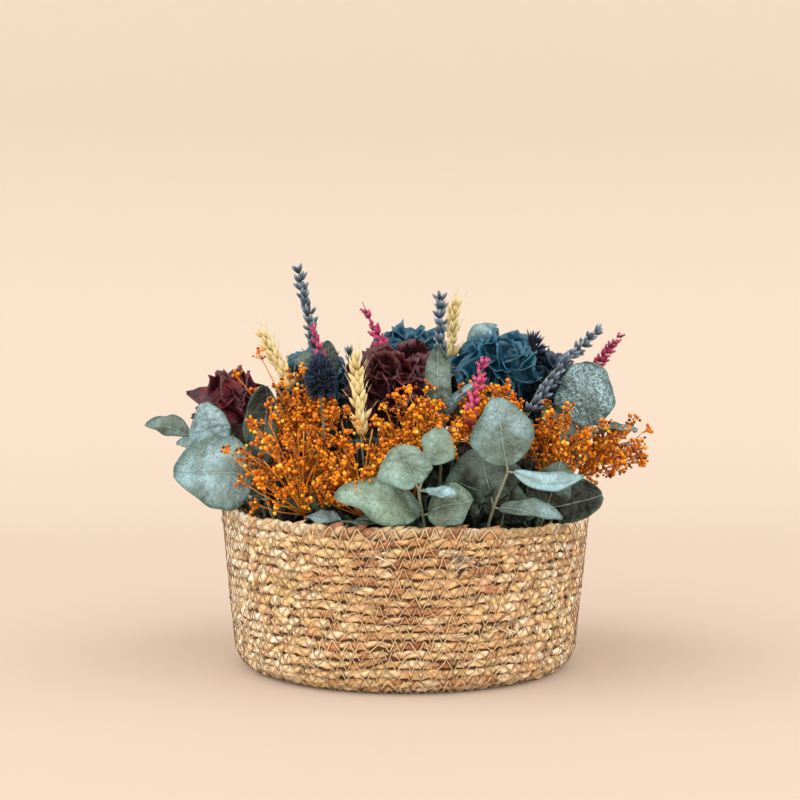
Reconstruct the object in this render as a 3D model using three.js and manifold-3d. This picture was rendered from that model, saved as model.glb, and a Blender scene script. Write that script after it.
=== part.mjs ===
// A round basket of stitched seagrass rope, filled with preserved foliage and flowers whose stems
// stand in a block of dry floral foam. Millimetres, +Z up, the front faces -Y, and the origin is the
// middle of the underside.

import * as THREE from "three";
import { mergeVertices } from "three/addons/utils/BufferGeometryUtils.js";
import Module from "manifold-3d";

const wasm = await Module();
wasm.setup();

// Driving dimensions of the basket and its foam
const BASKET_HEIGHT = 100;
const RIM_RADIUS = 120;
const FOOT_RADIUS = 110.5;
const CORNER_RADIUS = 14;
const WALL = 6;
const ROPE_COURSES = 12;
const ROPE_RELIEF = 1.4;
const BASKET_SIDES = 24;
const RIM_LEAN = 3;
const LEAN_START = 0.4;
const FLOOR_THICKNESS = 7;
const FOAM_TOP = 62;
const FOAM_TOP_RADIUS = 104;
const FOAM_FOOT_RADIUS = 92;
const FOAM_SIDES = 24;
const SEAT_GAP = 0.3;

// How the stems stand in the foam
const HOLE_DEPTH = 26;
const HOLE_GAP = 0.45;
const HOLE_SIDES = 4;
const STRAIGHT_ABOVE_FOAM = 4;
const STEM_SIDES = 4;
const THIN_STEM = 1.2;
const THIN_STEM_SIDES = 3;
const STEM_STEPS = 4;

// Clear space kept between neighbours, and how often a small piece is tried in a new place
const CLEARANCE = 0.4;
const TRIES = 6;

const GOLDEN_ANGLE = Math.PI * (3 - Math.sqrt(5));
const UP = new THREE.Vector3(0, 0, 1);
const LATHE_TO_Z_UP = Math.PI / 2;

const vec = (p) => new THREE.Vector3(p[0], p[1], p[2]);

// A seeded random number from 0 to 1, so that every build is the same.
function seeded(seed) {
  let state = seed;
  return () => {
    state = (state * 1664525 + 1013904223) % 4294967296;
    return state / 4294967296;
  };
}

// A closed geometry as a solid that can be joined and cut, with its faces turned outwards.
function solid(geometry) {
  const flat = geometry.index ? geometry.toNonIndexed() : geometry;
  const bare = new THREE.BufferGeometry();
  bare.setAttribute("position", flat.getAttribute("position"));
  const merged = mergeVertices(bare, 1e-4);
  const index = merged.index.array;
  const corners = [];
  for (let i = 0; i < index.length; i += 3) {
    const [a, b, c] = index.subarray(i, i + 3);
    if (a !== b && b !== c && c !== a) corners.push([a, b, c]);
  }
  const build = (triangles) =>
    new wasm.Manifold(
      new wasm.Mesh({
        numProp: 3,
        vertProperties: merged.attributes.position.array,
        triVerts: new Uint32Array(triangles.flat()),
      }),
    );
  const made = build(corners);
  return made.volume() < 0 ? build(corners.map((t) => t.reverse())) : made;
}

// Joins pieces into one body. A scrap that touches nothing is dropped and a sealed hollow is filled.
function fuse(pieces) {
  const bodies = wasm.Manifold.union(pieces).decompose();
  const largest = bodies.reduce((a, b) => (b.volume() > a.volume() ? b : a));
  return largest.simplify(0.01);
}

// What stands already, by name, for keeping later pieces clear of it.
const standing = new Map();

function boxesMeet(a, b) {
  return [0, 1, 2].every(
    (i) => a.min[i] - CLEARANCE < b.max[i] && b.min[i] - CLEARANCE < a.max[i],
  );
}

function apart(body, box, other) {
  return !boxesMeet(box, other.boundingBox()) || other.minGap(body, CLEARANCE) >= CLEARANCE;
}

// Whether a body keeps its clearance from all that stands, and from the given pieces of its own.
function isClear(body, own = []) {
  const box = body.boundingBox();
  return [...standing.values(), ...own].every((other) => apart(body, box, other));
}

const holder = new THREE.Group();
const foliage = new THREE.Group();
const flowers = new THREE.Group();

// Puts a finished body in the scene graph as a named mesh, with its own origin at its foot.
function place(group, name, body, colour, roughness, foot) {
  standing.set(name, body);
  const { numProp, vertProperties, triVerts } = body.getMesh();
  const points = new Float32Array((vertProperties.length / numProp) * 3);
  for (let i = 0; i < points.length / 3; i += 1) {
    points.set(vertProperties.subarray(i * numProp, i * numProp + 3), i * 3);
  }
  const geometry = new THREE.BufferGeometry();
  geometry.setAttribute("position", new THREE.BufferAttribute(points, 3));
  geometry.setIndex(new THREE.BufferAttribute(triVerts, 1));
  geometry.translate(-foot[0], -foot[1], 0);
  const material = new THREE.MeshStandardMaterial({ color: colour, roughness, metalness: 0 });
  const mesh = new THREE.Mesh(geometry, material);
  mesh.name = name;
  mesh.position.set(foot[0], foot[1], 0);
  group.add(mesh);
}

// A straight piece, modelled along +Y about its own middle, set between two points.
function between(geometry, from, to) {
  const heading = to.clone().sub(from).normalize();
  const turn = new THREE.Quaternion().setFromUnitVectors(new THREE.Vector3(0, 1, 0), heading);
  const middle = from.clone().add(to).multiplyScalar(0.5);
  return geometry.clone().applyQuaternion(turn).translate(middle.x, middle.y, middle.z);
}

// The way along a blade, the way its face looks, the way across it, and its length.
function bladeFrame(root, tip, face) {
  const along = tip.clone().sub(root);
  const length = along.length();
  along.normalize();
  const out = face.clone().addScaledVector(along, -face.dot(along)).normalize();
  const side = new THREE.Vector3().crossVectors(along, out);
  return { along, out, side, length };
}

// Gives a sheet of triangles a thickness, with the same triangles on both faces.
function thicken(triangles, points, out, thickness) {
  const count = points.length;
  const half = out.clone().multiplyScalar(thickness / 2);
  const upper = points.map((p) => p.clone().add(half));
  const lower = points.map((p) => p.clone().sub(half));
  const edges = new Set();
  const index = [];
  for (let i = 0; i < triangles.length; i += 3) {
    const [a, b, c] = triangles.slice(i, i + 3);
    index.push(a, b, c, c + count, b + count, a + count);
    edges.add(`${a},${b}`).add(`${b},${c}`).add(`${c},${a}`);
  }
  for (const edge of edges) {
    const [a, b] = edge.split(",").map(Number);
    if (!edges.has(`${b},${a}`)) index.push(b, a, a + count, b, a + count, b + count);
  }
  const geometry = new THREE.BufferGeometry().setFromPoints([...upper, ...lower]);
  return geometry.setIndex(index);
}

const LEAF_THICKNESS = 0.9;
const LEAF_ROUNDNESS = 0.6;
const LEAF_END = 0.02;
const LEAF_BROADEST = 0.42;
const RIPPLES = 7;
const LEAF_SEGMENTS = 4;
const BROAD_LEAF = 25;
const BROAD_LEAF_SEGMENTS = 5;
const STALK_LENGTH = 4;
const STALK_WIDTH = 2;
const STALK_FROM_AXIS = 0.6;

// Half the width of a round eucalyptus leaf, as a share of its widest, from root to tip.
function leafOutline(v) {
  return Math.sin(Math.PI * (LEAF_END + (1 - 2 * LEAF_END) * v)) ** LEAF_ROUNDNESS;
}

// A eucalyptus leaf on its stalk, grown from a joint of a stem. Cup lifts both its edges, arch
// bows its length, wave ripples the edges, and taper narrows its tip.
function leafOnStalk(joint, { tip, face, width, cup = 0.08, arch = 0.06, wave = 0.03, taper = 0 }) {
  const heading = vec(tip).sub(joint).normalize();
  const root = joint.clone().addScaledVector(heading, STALK_FROM_AXIS);
  const frame = bladeFrame(root, vec(tip), vec(face));
  const bladeLength = frame.length - STALK_LENGTH;
  const segments = width > BROAD_LEAF ? BROAD_LEAF_SEGMENTS : LEAF_SEGMENTS;
  const rows = segments + 1;
  const sheet = mergeVertices(new THREE.PlaneGeometry(2, rows, 2, rows).deleteAttribute("uv"));
  const spots = sheet.attributes.position;
  const points = [];
  for (let i = 0; i < spots.count; i += 1) {
    const u = spots.getX(i);
    const v = (spots.getY(i) + rows / 2 - 1) / segments;
    const inBlade = Math.max(0, v);
    const broad = width * (1 + taper * (LEAF_BROADEST - v));
    const across = v > 0 ? Math.max(STALK_WIDTH, broad * leafOutline(v)) : STALK_WIDTH;
    const ripple = cup * u * u + wave * u * Math.sin(RIPPLES * v + width);
    const bow = arch * 4 * inBlade * (1 - inBlade);
    const along = v < 0 ? 0 : STALK_LENGTH + bladeLength * v;
    const point = root.clone().addScaledVector(frame.along, along);
    point.addScaledVector(frame.side, (u * across) / 2);
    points.push(point.addScaledVector(frame.out, across * ripple + bladeLength * bow));
  }
  return solid(thicken(Array.from(sheet.index.array), points, frame.out, LEAF_THICKNESS));
}

// A line through a list of bends, which an extrusion follows from bend to bend.
class BentLine extends THREE.Curve {
  constructor(bends) {
    super();
    this.bends = bends;
  }

  getUtoTmapping(u) {
    return u;
  }

  getPoint(t, target = new THREE.Vector3()) {
    const last = this.bends.length - 1;
    const i = Math.min(Math.floor(Math.max(0, t) * last), last - 1);
    return target.lerpVectors(this.bends[i], this.bends[i + 1], t * last - i);
  }
}

// A rod of a few sides through its bends.
function rod(bends, radius) {
  const section = new THREE.Shape();
  const sides = radius < THIN_STEM ? THIN_STEM_SIDES : STEM_SIDES;
  section.moveTo(radius, 0);
  for (let i = 1; i < sides; i += 1) {
    const angle = (2 * Math.PI * i) / sides;
    section.lineTo(radius * Math.cos(angle), radius * Math.sin(angle));
  }
  section.closePath();
  const extrudePath = new BentLine(bends);
  const options = { steps: bends.length - 1, extrudePath, bevelEnabled: false };
  return solid(new THREE.ExtrudeGeometry(section, options));
}

// The holes that the foam needs, and the start of each stem's line: the bottom of its hole, and
// a little above the hole's mouth.
const holes = [];

function stemStart(foot) {
  const bottom = new THREE.Vector3(foot[0], foot[1], FOAM_TOP - HOLE_DEPTH + SEAT_GAP);
  return [bottom, bottom.clone().setZ(FOAM_TOP + STRAIGHT_ABOVE_FOAM)];
}

const BOWS = [0, 5, 9, 13, 18, 24, 30, 38];
const BOW_TURNS = 8;

// A stem from its hole to a neck, which it reaches in the head's own direction, and on to the top.
// It takes the smallest sideways bow that touches nothing.
function bentStem(foot, neck, heading, top, radius) {
  const [bottom, mouth] = stemStart(foot);
  const third = neck.distanceTo(mouth) / 3;
  let straightest = null;
  for (const bow of BOWS) {
    for (let i = 0; i < (bow ? BOW_TURNS : 1); i += 1) {
      const angle = (2 * Math.PI * i) / BOW_TURNS;
      const aside = new THREE.Vector3(bow * Math.cos(angle), bow * Math.sin(angle), 0);
      const leave = mouth.clone().addScaledVector(UP, third).addScaledVector(aside, 0.6);
      const arrive = neck.clone().addScaledVector(heading, -third).add(aside);
      const bend = new THREE.CubicBezierCurve3(mouth, leave, arrive, neck);
      const body = rod([bottom, ...bend.getSpacedPoints(STEM_STEPS), top], radius);
      straightest ??= body;
      if (isClear(body)) return body;
    }
  }
  return straightest;
}

// A leafy stem: it climbs through its joints, and each leaf grows from the joint it names.
function leafyStem(name, { foot, joints, leaves, radius = 1.3 }) {
  holes.push({ foot, radius });
  const spots = joints.map(vec);
  const [before, last] = spots.slice(-2);
  const end = last.clone().addScaledVector(last.clone().sub(before).normalize(), radius);
  const stem = rod([...stemStart(foot), ...spots.slice(0, -1), end], radius);
  const blades = leaves.map((leaf) => leafOnStalk(spots[leaf.joint], leaf));
  place(foliage, name, fuse([stem, ...blades]), 0x7f9c90, 0.6, foot);
}

// The kinds of spike: how its whorls of narrow florets stand round the stem's upper end.
const LAVENDER = {
  stem: 1,
  whorls: 7,
  around: 3,
  reach: 4.2,
  rise: 8,
  taper: 0.45,
  colour: 0x5f6982,
};
const PINK_SPIKE = {
  stem: 1,
  whorls: 6,
  around: 3,
  reach: 6.5,
  rise: 8,
  taper: 0.5,
  colour: 0xbe4a75,
};
const WHEAT = {
  stem: 1,
  whorls: 7,
  around: 3,
  reach: 6,
  rise: 13,
  taper: 0.3,
  colour: 0xd8c690,
};
const STEM_IN_HEAD = 3;
const SPIKE_WAIST = 1.3;
const WAIST_LOSS = 0.4;
const POINT_HEIGHT = 0.4;
const NOTCH_REACH = 1.8;

// The head of a spike, along +Y from its lowest whorl: every second column of a whorl's ring is
// pulled out and up to a point, and the columns change places from one whorl to the next.
function spikeHead({ whorls, around, reach, rise, taper }, length) {
  const pitch = (length - rise * (1 - taper)) / whorls;
  const profile = [new THREE.Vector2(0, 0), new THREE.Vector2(SPIKE_WAIST, 0)];
  for (let k = 0; k < whorls; k += 1) {
    profile.push(new THREE.Vector2(1, (k + POINT_HEIGHT) * pitch));
    const waist = SPIKE_WAIST * (1 - (WAIST_LOSS * k) / whorls);
    profile.push(new THREE.Vector2(waist, (k + 1) * pitch));
  }
  profile.push(new THREE.Vector2(0, length));
  const head = new THREE.LatheGeometry(profile, 2 * around);
  const spots = head.attributes.position;
  for (let i = 0; i < spots.count; i += 1) {
    const column = Math.floor(i / profile.length);
    const ring = (i % profile.length) - 2;
    const k = ring / 2;
    if (ring >= 0 && ring < 2 * whorls && Number.isInteger(k)) {
      const point = (column + k) % 2 === 0;
      const size = 1 - taper * (k / whorls) ** 2;
      const out = size * (point ? reach : NOTCH_REACH);
      const up = point ? k * pitch + size * rise : spots.getY(i);
      spots.setXYZ(i, spots.getX(i) * out, up, spots.getZ(i) * out);
    }
  }
  return head;
}

function spike(name, kind, { foot, neck, tip }) {
  holes.push({ foot, radius: kind.stem });
  const from = vec(neck);
  const to = vec(tip);
  const axis = to.clone().sub(from).normalize();
  const length = from.distanceTo(to);
  const inHead = from.clone().addScaledVector(axis, STEM_IN_HEAD);
  const stem = bentStem(foot, from, axis, inHead, kind.stem);
  const head = spikeHead(kind, length).translate(0, -length / 2, 0);
  place(flowers, name, fuse([stem, solid(between(head, from, to))]), kind.colour, 0.8, foot);
}

// A point on a ball, spread evenly by the golden angle. Low is how far down the last one stands.
function onBall(i, count, low, start) {
  const height = 1 - ((1 + low) * (i + 0.5)) / count;
  const ring = Math.sqrt(1 - height * height);
  const angle = i * GOLDEN_ANGLE + start;
  return new THREE.Vector3(ring * Math.cos(angle), ring * Math.sin(angle), height);
}

const THISTLE_STEM = 1.2;
const THISTLE_CORE = [0.36, 0.45];
const THISTLE_ROOTS = [0.2, 0.26];
const THISTLE_POINT = 0.085;
const THISTLE_LEAN = 0.5;
const THISTLE_LOW = 0.85;

// A dense head of short points that stand out of a smaller core.
function thistle(name, { foot, neck, tip, width, points, pointLength }) {
  holes.push({ foot, radius: THISTLE_STEM });
  const from = vec(neck);
  const to = vec(tip);
  const axis = to.clone().sub(from).normalize();
  const length = from.distanceTo(to);
  const centre = from.clone().lerp(to, 0.5);
  const turn = new THREE.Quaternion().setFromUnitVectors(UP, axis);
  const [wide, high] = THISTLE_CORE;
  const [rootWide, rootHigh] = THISTLE_ROOTS;
  const roots = new THREE.Vector3(width * rootWide, width * rootWide, length * rootHigh);
  const core = new THREE.IcosahedronGeometry(1, 0).scale(width * wide, width * wide, length * high);
  core.applyQuaternion(turn).translate(centre.x, centre.y, centre.z);
  const pieces = [bentStem(foot, from, axis, centre, THISTLE_STEM), solid(core)];
  for (let i = 0; i < points; i += 1) {
    const out = onBall(i, points, THISTLE_LOW, 0);
    const root = out.clone().multiply(roots);
    const lean = out.clone().addScaledVector(UP, THISTLE_LEAN).normalize();
    const end = root.clone().addScaledVector(lean, pointLength);
    root.applyQuaternion(turn).add(centre);
    end.applyQuaternion(turn).add(centre);
    const point = new THREE.ConeGeometry(width * THISTLE_POINT, pointLength, 3);
    pieces.push(solid(between(point, root, end)));
  }
  place(flowers, name, fuse(pieces), 0x16243f, 0.85, foot);
}

const SEPAL_THICKNESS = 0.8;
const SEPALS = 4;
const SEPAL_ROOT = 0.3;
const SEPAL_HALF_ANGLE = 0.5;
const SEPAL_SHORTEST = 0.8;
const SEPAL_LEAST_CURL = 0.3;
const SEPAL_CURL_SPREAD = 0.45;
const SEPAL_TWIST = 0.1;
const SHRINK_A_TRY = 0.05;
const FLORET_STAND = 3;
const FLORET_ROOT = 2;
const HYDRANGEA_STEM = 1.8;
const FACE_DISTANCE = 0.795;
const HYDRANGEA_CORE = 0.56;

// The corners of a floret's face: its middle, and then a notch, a left and a right one a sepal.
function floretFace() {
  const triangles = [];
  for (let sepal = 0; sepal < SEPALS; sepal += 1) {
    const notch = 1 + 3 * sepal;
    const nextNotch = 1 + ((3 * sepal + 3) % (3 * SEPALS));
    triangles.push(0, notch, nextNotch, notch, notch + 1, notch + 2, notch, notch + 2, nextNotch);
  }
  return triangles;
}

// One floret: four sepals, each with its own curl, round a middle that narrows to a root below.
function floretBlade(middle, out, size, narrow, random) {
  const side = new THREE.Vector3(0.3, 1, 0.1).cross(out).normalize();
  const spin = random() * Math.PI;
  const points = [middle.clone()];
  const addCorner = (angle, reach, lift) => {
    const away = side.clone().applyAxisAngle(out, spin + angle);
    const corner = middle.clone().addScaledVector(away, size * reach);
    points.push(corner.addScaledVector(out, size * lift));
  };
  for (let sepal = 0; sepal < SEPALS; sepal += 1) {
    const angle = (2 * Math.PI * sepal) / SEPALS;
    const curl = SEPAL_LEAST_CURL + SEPAL_CURL_SPREAD * random();
    const reach = () => SEPAL_SHORTEST + (1 - SEPAL_SHORTEST) * random();
    addCorner(angle - Math.PI / SEPALS, SEPAL_ROOT, 0);
    addCorner(angle - SEPAL_HALF_ANGLE * narrow, reach(), curl);
    addCorner(angle + SEPAL_HALF_ANGLE * narrow, reach(), curl + SEPAL_TWIST);
  }
  const blade = thicken(floretFace(), points, out, SEPAL_THICKNESS);
  const root = middle.clone().addScaledVector(out, -FLORET_STAND - FLORET_ROOT);
  blade.attributes.position.setXYZ(points.length, root.x, root.y, root.z);
  return solid(blade);
}

function hydrangeaCore({ centre, radius }) {
  const core = new THREE.DodecahedronGeometry(radius * HYDRANGEA_CORE);
  return solid(core.translate(centre[0], centre[1], centre[2]));
}

// The middles of the core's faces, from the highest down.
function coreSeats() {
  const corners = new THREE.IcosahedronGeometry(1).attributes.position;
  const seats = new Map();
  for (let i = 0; i < corners.count; i += 1) {
    const out = new THREE.Vector3().fromBufferAttribute(corners, i);
    seats.set(out.toArray().map((x) => x.toFixed(2)).join(), out);
  }
  return [...seats.values()].sort((a, b) => b.z - a.z);
}

// A hydrangea head: a four-sepalled floret on each upper face of a smaller core. A floret that
// would come too near a neighbour is turned and made smaller, or left off.
function hydrangea(name, head) {
  const { foot, centre, radius, florets, sepal, narrow = 1, colour, seed } = head;
  standing.delete(name);
  holes.push({ foot, radius: HYDRANGEA_STEM });
  const random = seeded(seed);
  const middle = vec(centre);
  const neck = middle.clone().addScaledVector(UP, -radius * HYDRANGEA_CORE);
  const stem = bentStem(foot, neck, UP, middle, HYDRANGEA_STEM);
  const blades = [];
  for (const out of coreSeats().slice(0, florets)) {
    const height = radius * HYDRANGEA_CORE * FACE_DISTANCE + FLORET_STAND;
    const seat = middle.clone().addScaledVector(out, height);
    for (let attempt = 0; attempt < 2 * TRIES; attempt += 1) {
      const size = sepal * (1 - SHRINK_A_TRY * attempt);
      const blade = floretBlade(seat, out, size, narrow, random);
      if (isClear(blade, blades)) {
        blades.push(blade);
        break;
      }
    }
  }
  place(flowers, name, fuse([stem, hydrangeaCore(head), ...blades]), colour, 0.85, foot);
}

const SPRAY_STEM = 1.3;
const BUD_RADIUS = 2.1;
const TWIG_RADIUS = 0.5;
const BRANCH_RADIUS = 0.75;
const BUDS_PER_BRANCH = 3;
const BRANCHES_LOW = 0.2;
const TWIGS_LOW = 0.7;
const CLOUD_SKIN = 0.75;
const FIRST_FORK = 0.15;
const LAST_FORK = 0.9;
const FORK_BEFORE = 0.5;

// A bud on its twig, as one turned piece of three sides.
function budOnTwig(from, to, radius = TWIG_RADIUS) {
  const heading = to.clone().sub(from).normalize();
  const length = from.distanceTo(to) + BUD_RADIUS;
  const profile = [
    new THREE.Vector2(0, 0),
    new THREE.Vector2(radius, 0),
    new THREE.Vector2(TWIG_RADIUS, length - 2 * BUD_RADIUS),
    new THREE.Vector2(BUD_RADIUS, length - BUD_RADIUS),
    new THREE.Vector2(0, length),
  ];
  const piece = new THREE.LatheGeometry(profile, 3).translate(0, -length / 2, 0);
  return solid(between(piece, from, from.clone().addScaledVector(heading, length)));
}

// Where a twig to a bud leaves the nearest branch: a little before the closest place on it.
function twigRoot(branches, to) {
  const spot = new THREE.Vector3();
  const reaches = branches.map((line) => {
    const t = line.closestPointToPointParameter(to, true);
    return { line, t, far: line.at(t, spot).distanceTo(to) };
  });
  const { line, t, far } = reaches.reduce((a, b) => (b.far < a.far ? b : a));
  const early = t - (FORK_BEFORE * far) / line.distance();
  const leave = Math.min(LAST_FORK, Math.max(FIRST_FORK, early));
  return line.at(leave, new THREE.Vector3());
}

// A spray of gypsophila: side branches leave its stem inside the cloud, and every branch and twig
// carries a bud out to the cloud's skin. A twig that would touch a neighbour is turned aside or
// left off.
function gypsophila(name, { foot, hub, centre, spread, buds, seed }) {
  holes.push({ foot, radius: SPRAY_STEM });
  const random = seeded(seed);
  const heart = vec(centre);
  const size = vec(spread);
  const fork = vec(hub);
  const heading = heart.clone().sub(fork).normalize();
  const pieces = [bentStem(foot, fork, heading, heart, SPRAY_STEM)];
  const branches = [new THREE.Line3(fork, heart)];
  for (let i = 0; i < buds; i += 1) {
    const isBranch = i % BUDS_PER_BRANCH === 0;
    for (let attempt = 0; attempt < 2 * TRIES; attempt += 1) {
      const low = isBranch ? BRANCHES_LOW : TWIGS_LOW;
      const out = onBall(i, buds, low, random() * attempt).multiply(size);
      const to = heart.clone().addScaledVector(out, CLOUD_SKIN + (1 - CLOUD_SKIN) * random());
      const root = twigRoot(isBranch ? branches.slice(0, 1) : branches, to);
      const twig = budOnTwig(root, to, isBranch ? BRANCH_RADIUS : TWIG_RADIUS);
      const outerEnd = budOnTwig(root.clone().lerp(to, 0.5), to);
      if (isClear(outerEnd, pieces) && isClear(twig)) {
        pieces.push(twig);
        if (isBranch) branches.push(new THREE.Line3(root, to));
        break;
      }
    }
  }
  place(flowers, name, fuse(pieces), 0xc97416, 0.75, foot);
}

// The outside of the basket's wall at a height, at the crest of the rope.
function wallRadius(z) {
  const slope = FOOT_RADIUS + ((RIM_RADIUS - FOOT_RADIUS) * z) / BASKET_HEIGHT;
  const low = Math.max(0, (CORNER_RADIUS - z) / CORNER_RADIUS);
  return slope - CORNER_RADIUS * (1 - Math.sqrt(1 - low * low));
}

// The basket: one course of rope on another, turned as relief, round an open inside.
function basket() {
  const pitch = BASKET_HEIGHT / ROPE_COURSES;
  const profile = [new THREE.Vector2(0, 0)];
  for (let i = 0; i < ROPE_COURSES; i += 1) {
    const groove = i ? ROPE_RELIEF : 0;
    profile.push(new THREE.Vector2(wallRadius(i * pitch) - groove, i * pitch));
    profile.push(new THREE.Vector2(wallRadius((i + 0.5) * pitch), (i + 0.5) * pitch));
  }
  profile.push(new THREE.Vector2(RIM_RADIUS - ROPE_RELIEF, BASKET_HEIGHT));
  profile.push(new THREE.Vector2(RIM_RADIUS - WALL + ROPE_RELIEF, BASKET_HEIGHT));
  profile.push(new THREE.Vector2(RIM_RADIUS - WALL, BASKET_HEIGHT - pitch / 2));
  profile.push(new THREE.Vector2(wallRadius(CORNER_RADIUS) - WALL, CORNER_RADIUS + FLOOR_THICKNESS));
  profile.push(new THREE.Vector2(wallRadius(0) - ROPE_RELIEF, FLOOR_THICKNESS));
  profile.push(new THREE.Vector2(0, FLOOR_THICKNESS));
  const shell = new THREE.LatheGeometry(profile, BASKET_SIDES).rotateX(LATHE_TO_Z_UP);
  const spots = shell.attributes.position;
  for (let i = 0; i < spots.count; i += 1) {
    const high = Math.max(0, spots.getZ(i) / BASKET_HEIGHT - LEAN_START) / (1 - LEAN_START);
    spots.setZ(i, spots.getZ(i) - (RIM_LEAN * high * spots.getX(i)) / RIM_RADIUS);
  }
  place(holder, "basket", fuse([solid(shell)]), 0xc79a62, 0.85, [0, 0]);
}

// The block of dry foam, with a plain hole for every stem.
function foam() {
  const base = FLOOR_THICKNESS + SEAT_GAP;
  const height = FOAM_TOP - base;
  const block = new THREE.CylinderGeometry(FOAM_TOP_RADIUS, FOAM_FOOT_RADIUS, height, FOAM_SIDES);
  block.rotateX(LATHE_TO_Z_UP).translate(0, 0, (FOAM_TOP + base) / 2);
  const plugs = holes.map(({ foot, radius }) => {
    const across = (radius + HOLE_GAP) / Math.cos(Math.PI / HOLE_SIDES);
    const plug = new THREE.CylinderGeometry(across, across, HOLE_DEPTH * 2, HOLE_SIDES);
    return solid(plug.rotateX(LATHE_TO_Z_UP).translate(foot[0], foot[1], FOAM_TOP));
  });
  const body = solid(block).subtract(wasm.Manifold.union(plugs));
  place(holder, "foam_block", fuse([body]), 0x3c4a35, 0.95, [0, 0]);
}

basket();

// Eucalyptus along the front, from left to right
leafyStem("eucalyptus_left", {
  foot: [-70, -50],
  joints: [[-78, -56, 88], [-86, -61, 112], [-91, -61, 128]],
  leaves: [
    { joint: 2, tip: [-143, -68, 130], face: [0.1, -1, 0.3], width: 49, cup: 0.05, taper: 0.5 },
    { joint: 2, tip: [-87, -57, 183], face: [-0.4, -1, 0], width: 23, cup: 0.2, arch: -0.06 },
    { joint: 1, tip: [-148, -30, 128], face: [0, -0.3, 1], width: 18, arch: 0.05 },
  ],
});
leafyStem("eucalyptus_left_high", {
  foot: [-84, -28],
  joints: [[-98, -32, 104], [-118, -34, 136], [-134, -36, 150]],
  leaves: [
    { joint: 2, tip: [-166, -32, 157], face: [0, -0.7, 0.8], width: 17, cup: 0.2, arch: 0.08 },
    { joint: 1, tip: [-127, -42, 172], face: [-0.2, -1, 0.2], width: 27, cup: 0.12 },
  ],
});
leafyStem("eucalyptus_front_low", {
  foot: [-32, -78],
  joints: [[-33, -90, 88], [-35, -98, 103]],
  leaves: [
    { joint: 1, tip: [-60, -95, 105], face: [0, -0.3, 1], width: 16, cup: 0.1 },
    { joint: 1, tip: [-14, -108, 104], face: [0, -0.5, 1], width: 14, cup: 0.1 },
  ],
});
leafyStem("eucalyptus_front_centre", {
  foot: [12, -74],
  joints: [[12, -92, 92], [10, -101, 107], [8, -109, 123], [13, -107, 135]],
  leaves: [
    { joint: 2, tip: [-6, -118, 150], face: [-0.2, -1, 0.2], width: 31, cup: 0.14, arch: -0.08 },
    { joint: 2, tip: [29, -125, 121], face: [0, -0.4, 1], width: 13, cup: 0.25 },
    { joint: 3, tip: [23, -97, 159], face: [0.2, -1, 0.1], width: 21, cup: 0.06 },
    { joint: 1, tip: [-42, -112, 119], face: [0.2, -0.8, 0.6], width: 30, cup: 0.1, arch: 0.1 },
    { joint: 1, tip: [39, -112, 118], face: [-0.1, -0.8, 0.6], width: 30, cup: 0.07 },
  ],
});
leafyStem("eucalyptus_front_right", {
  foot: [46, -68],
  joints: [[48, -84, 90], [53, -93, 111], [61, -99, 133]],
  leaves: [
    { joint: 2, tip: [54, -92, 177], face: [0, -1, 0.15], width: 37, cup: 0.05, wave: 0.05, taper: 0.4 },
    { joint: 2, tip: [105, -110, 131], face: [0.2, -0.5, 0.9], width: 19, cup: 0.22, arch: -0.05 },
    { joint: 1, tip: [45, -80, 146], face: [0, -1, 0.1], width: 44, cup: 0.06 },
    { joint: 1, tip: [92, -112, 106], face: [0, -0.5, 0.9], width: 17, cup: 0.15, arch: 0.04 },
  ],
});
leafyStem("eucalyptus_front_far_right", {
  foot: [74, -50],
  joints: [[80, -66, 88], [86, -78, 108]],
  leaves: [
    { joint: 1, tip: [120, -80, 117], face: [0.3, -1, 0.6], width: 29, cup: 0.06, arch: 0.05 },
    { joint: 1, tip: [94, -84, 138], face: [0.1, -1, 0.2], width: 24, cup: 0.08 },
  ],
});
leafyStem("eucalyptus_right", {
  foot: [84, -24],
  joints: [[98, -26, 106], [112, -30, 136], [120, -33, 153]],
  leaves: [
    { joint: 2, tip: [112, -28, 197], face: [-0.1, -1, 0.1], width: 38, cup: 0.08 },
    { joint: 2, tip: [146, -47, 154], face: [0, -0.3, 1], width: 15, cup: 0.15 },
    { joint: 1, tip: [88, -32, 170], face: [0.2, -1, 0.1], width: 22, cup: 0.1 },
  ],
});
leafyStem("eucalyptus_centre_tall", {
  foot: [20, -44],
  joints: [[21, -56, 110], [23, -64, 161]],
  leaves: [
    { joint: 1, tip: [20, -60, 207], face: [-0.4, -1, 0], width: 18, cup: 0.12 },
    { joint: 1, tip: [46, -68, 185], face: [-0.6, -0.3, 0.7], width: 12, cup: 0.3 },
  ],
});

// Eucalyptus that stands high in the middle
leafyStem("eucalyptus_top_right", {
  foot: [34, 22],
  joints: [[36, 18, 130], [39, 14, 206]],
  leaves: [
    { joint: 1, tip: [61, 12, 221], face: [-0.3, -1, 0.6], width: 14, cup: 0.15, taper: 0.5 },
    { joint: 1, tip: [62, 34, 214], face: [-0.2, -1, 0.3], width: 13, cup: 0.15 },
  ],
});
leafyStem("eucalyptus_top_left", {
  foot: [-44, 12],
  joints: [[-48, 6, 130], [-50, -4, 184]],
  leaves: [
    { joint: 1, tip: [-50, -12, 211], face: [-0.1, -1, 0.2], width: 15, cup: 0.12 },
    { joint: 1, tip: [-72, 4, 200], face: [0.3, -1, 0.4], width: 15, cup: 0.15 },
  ],
});

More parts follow.
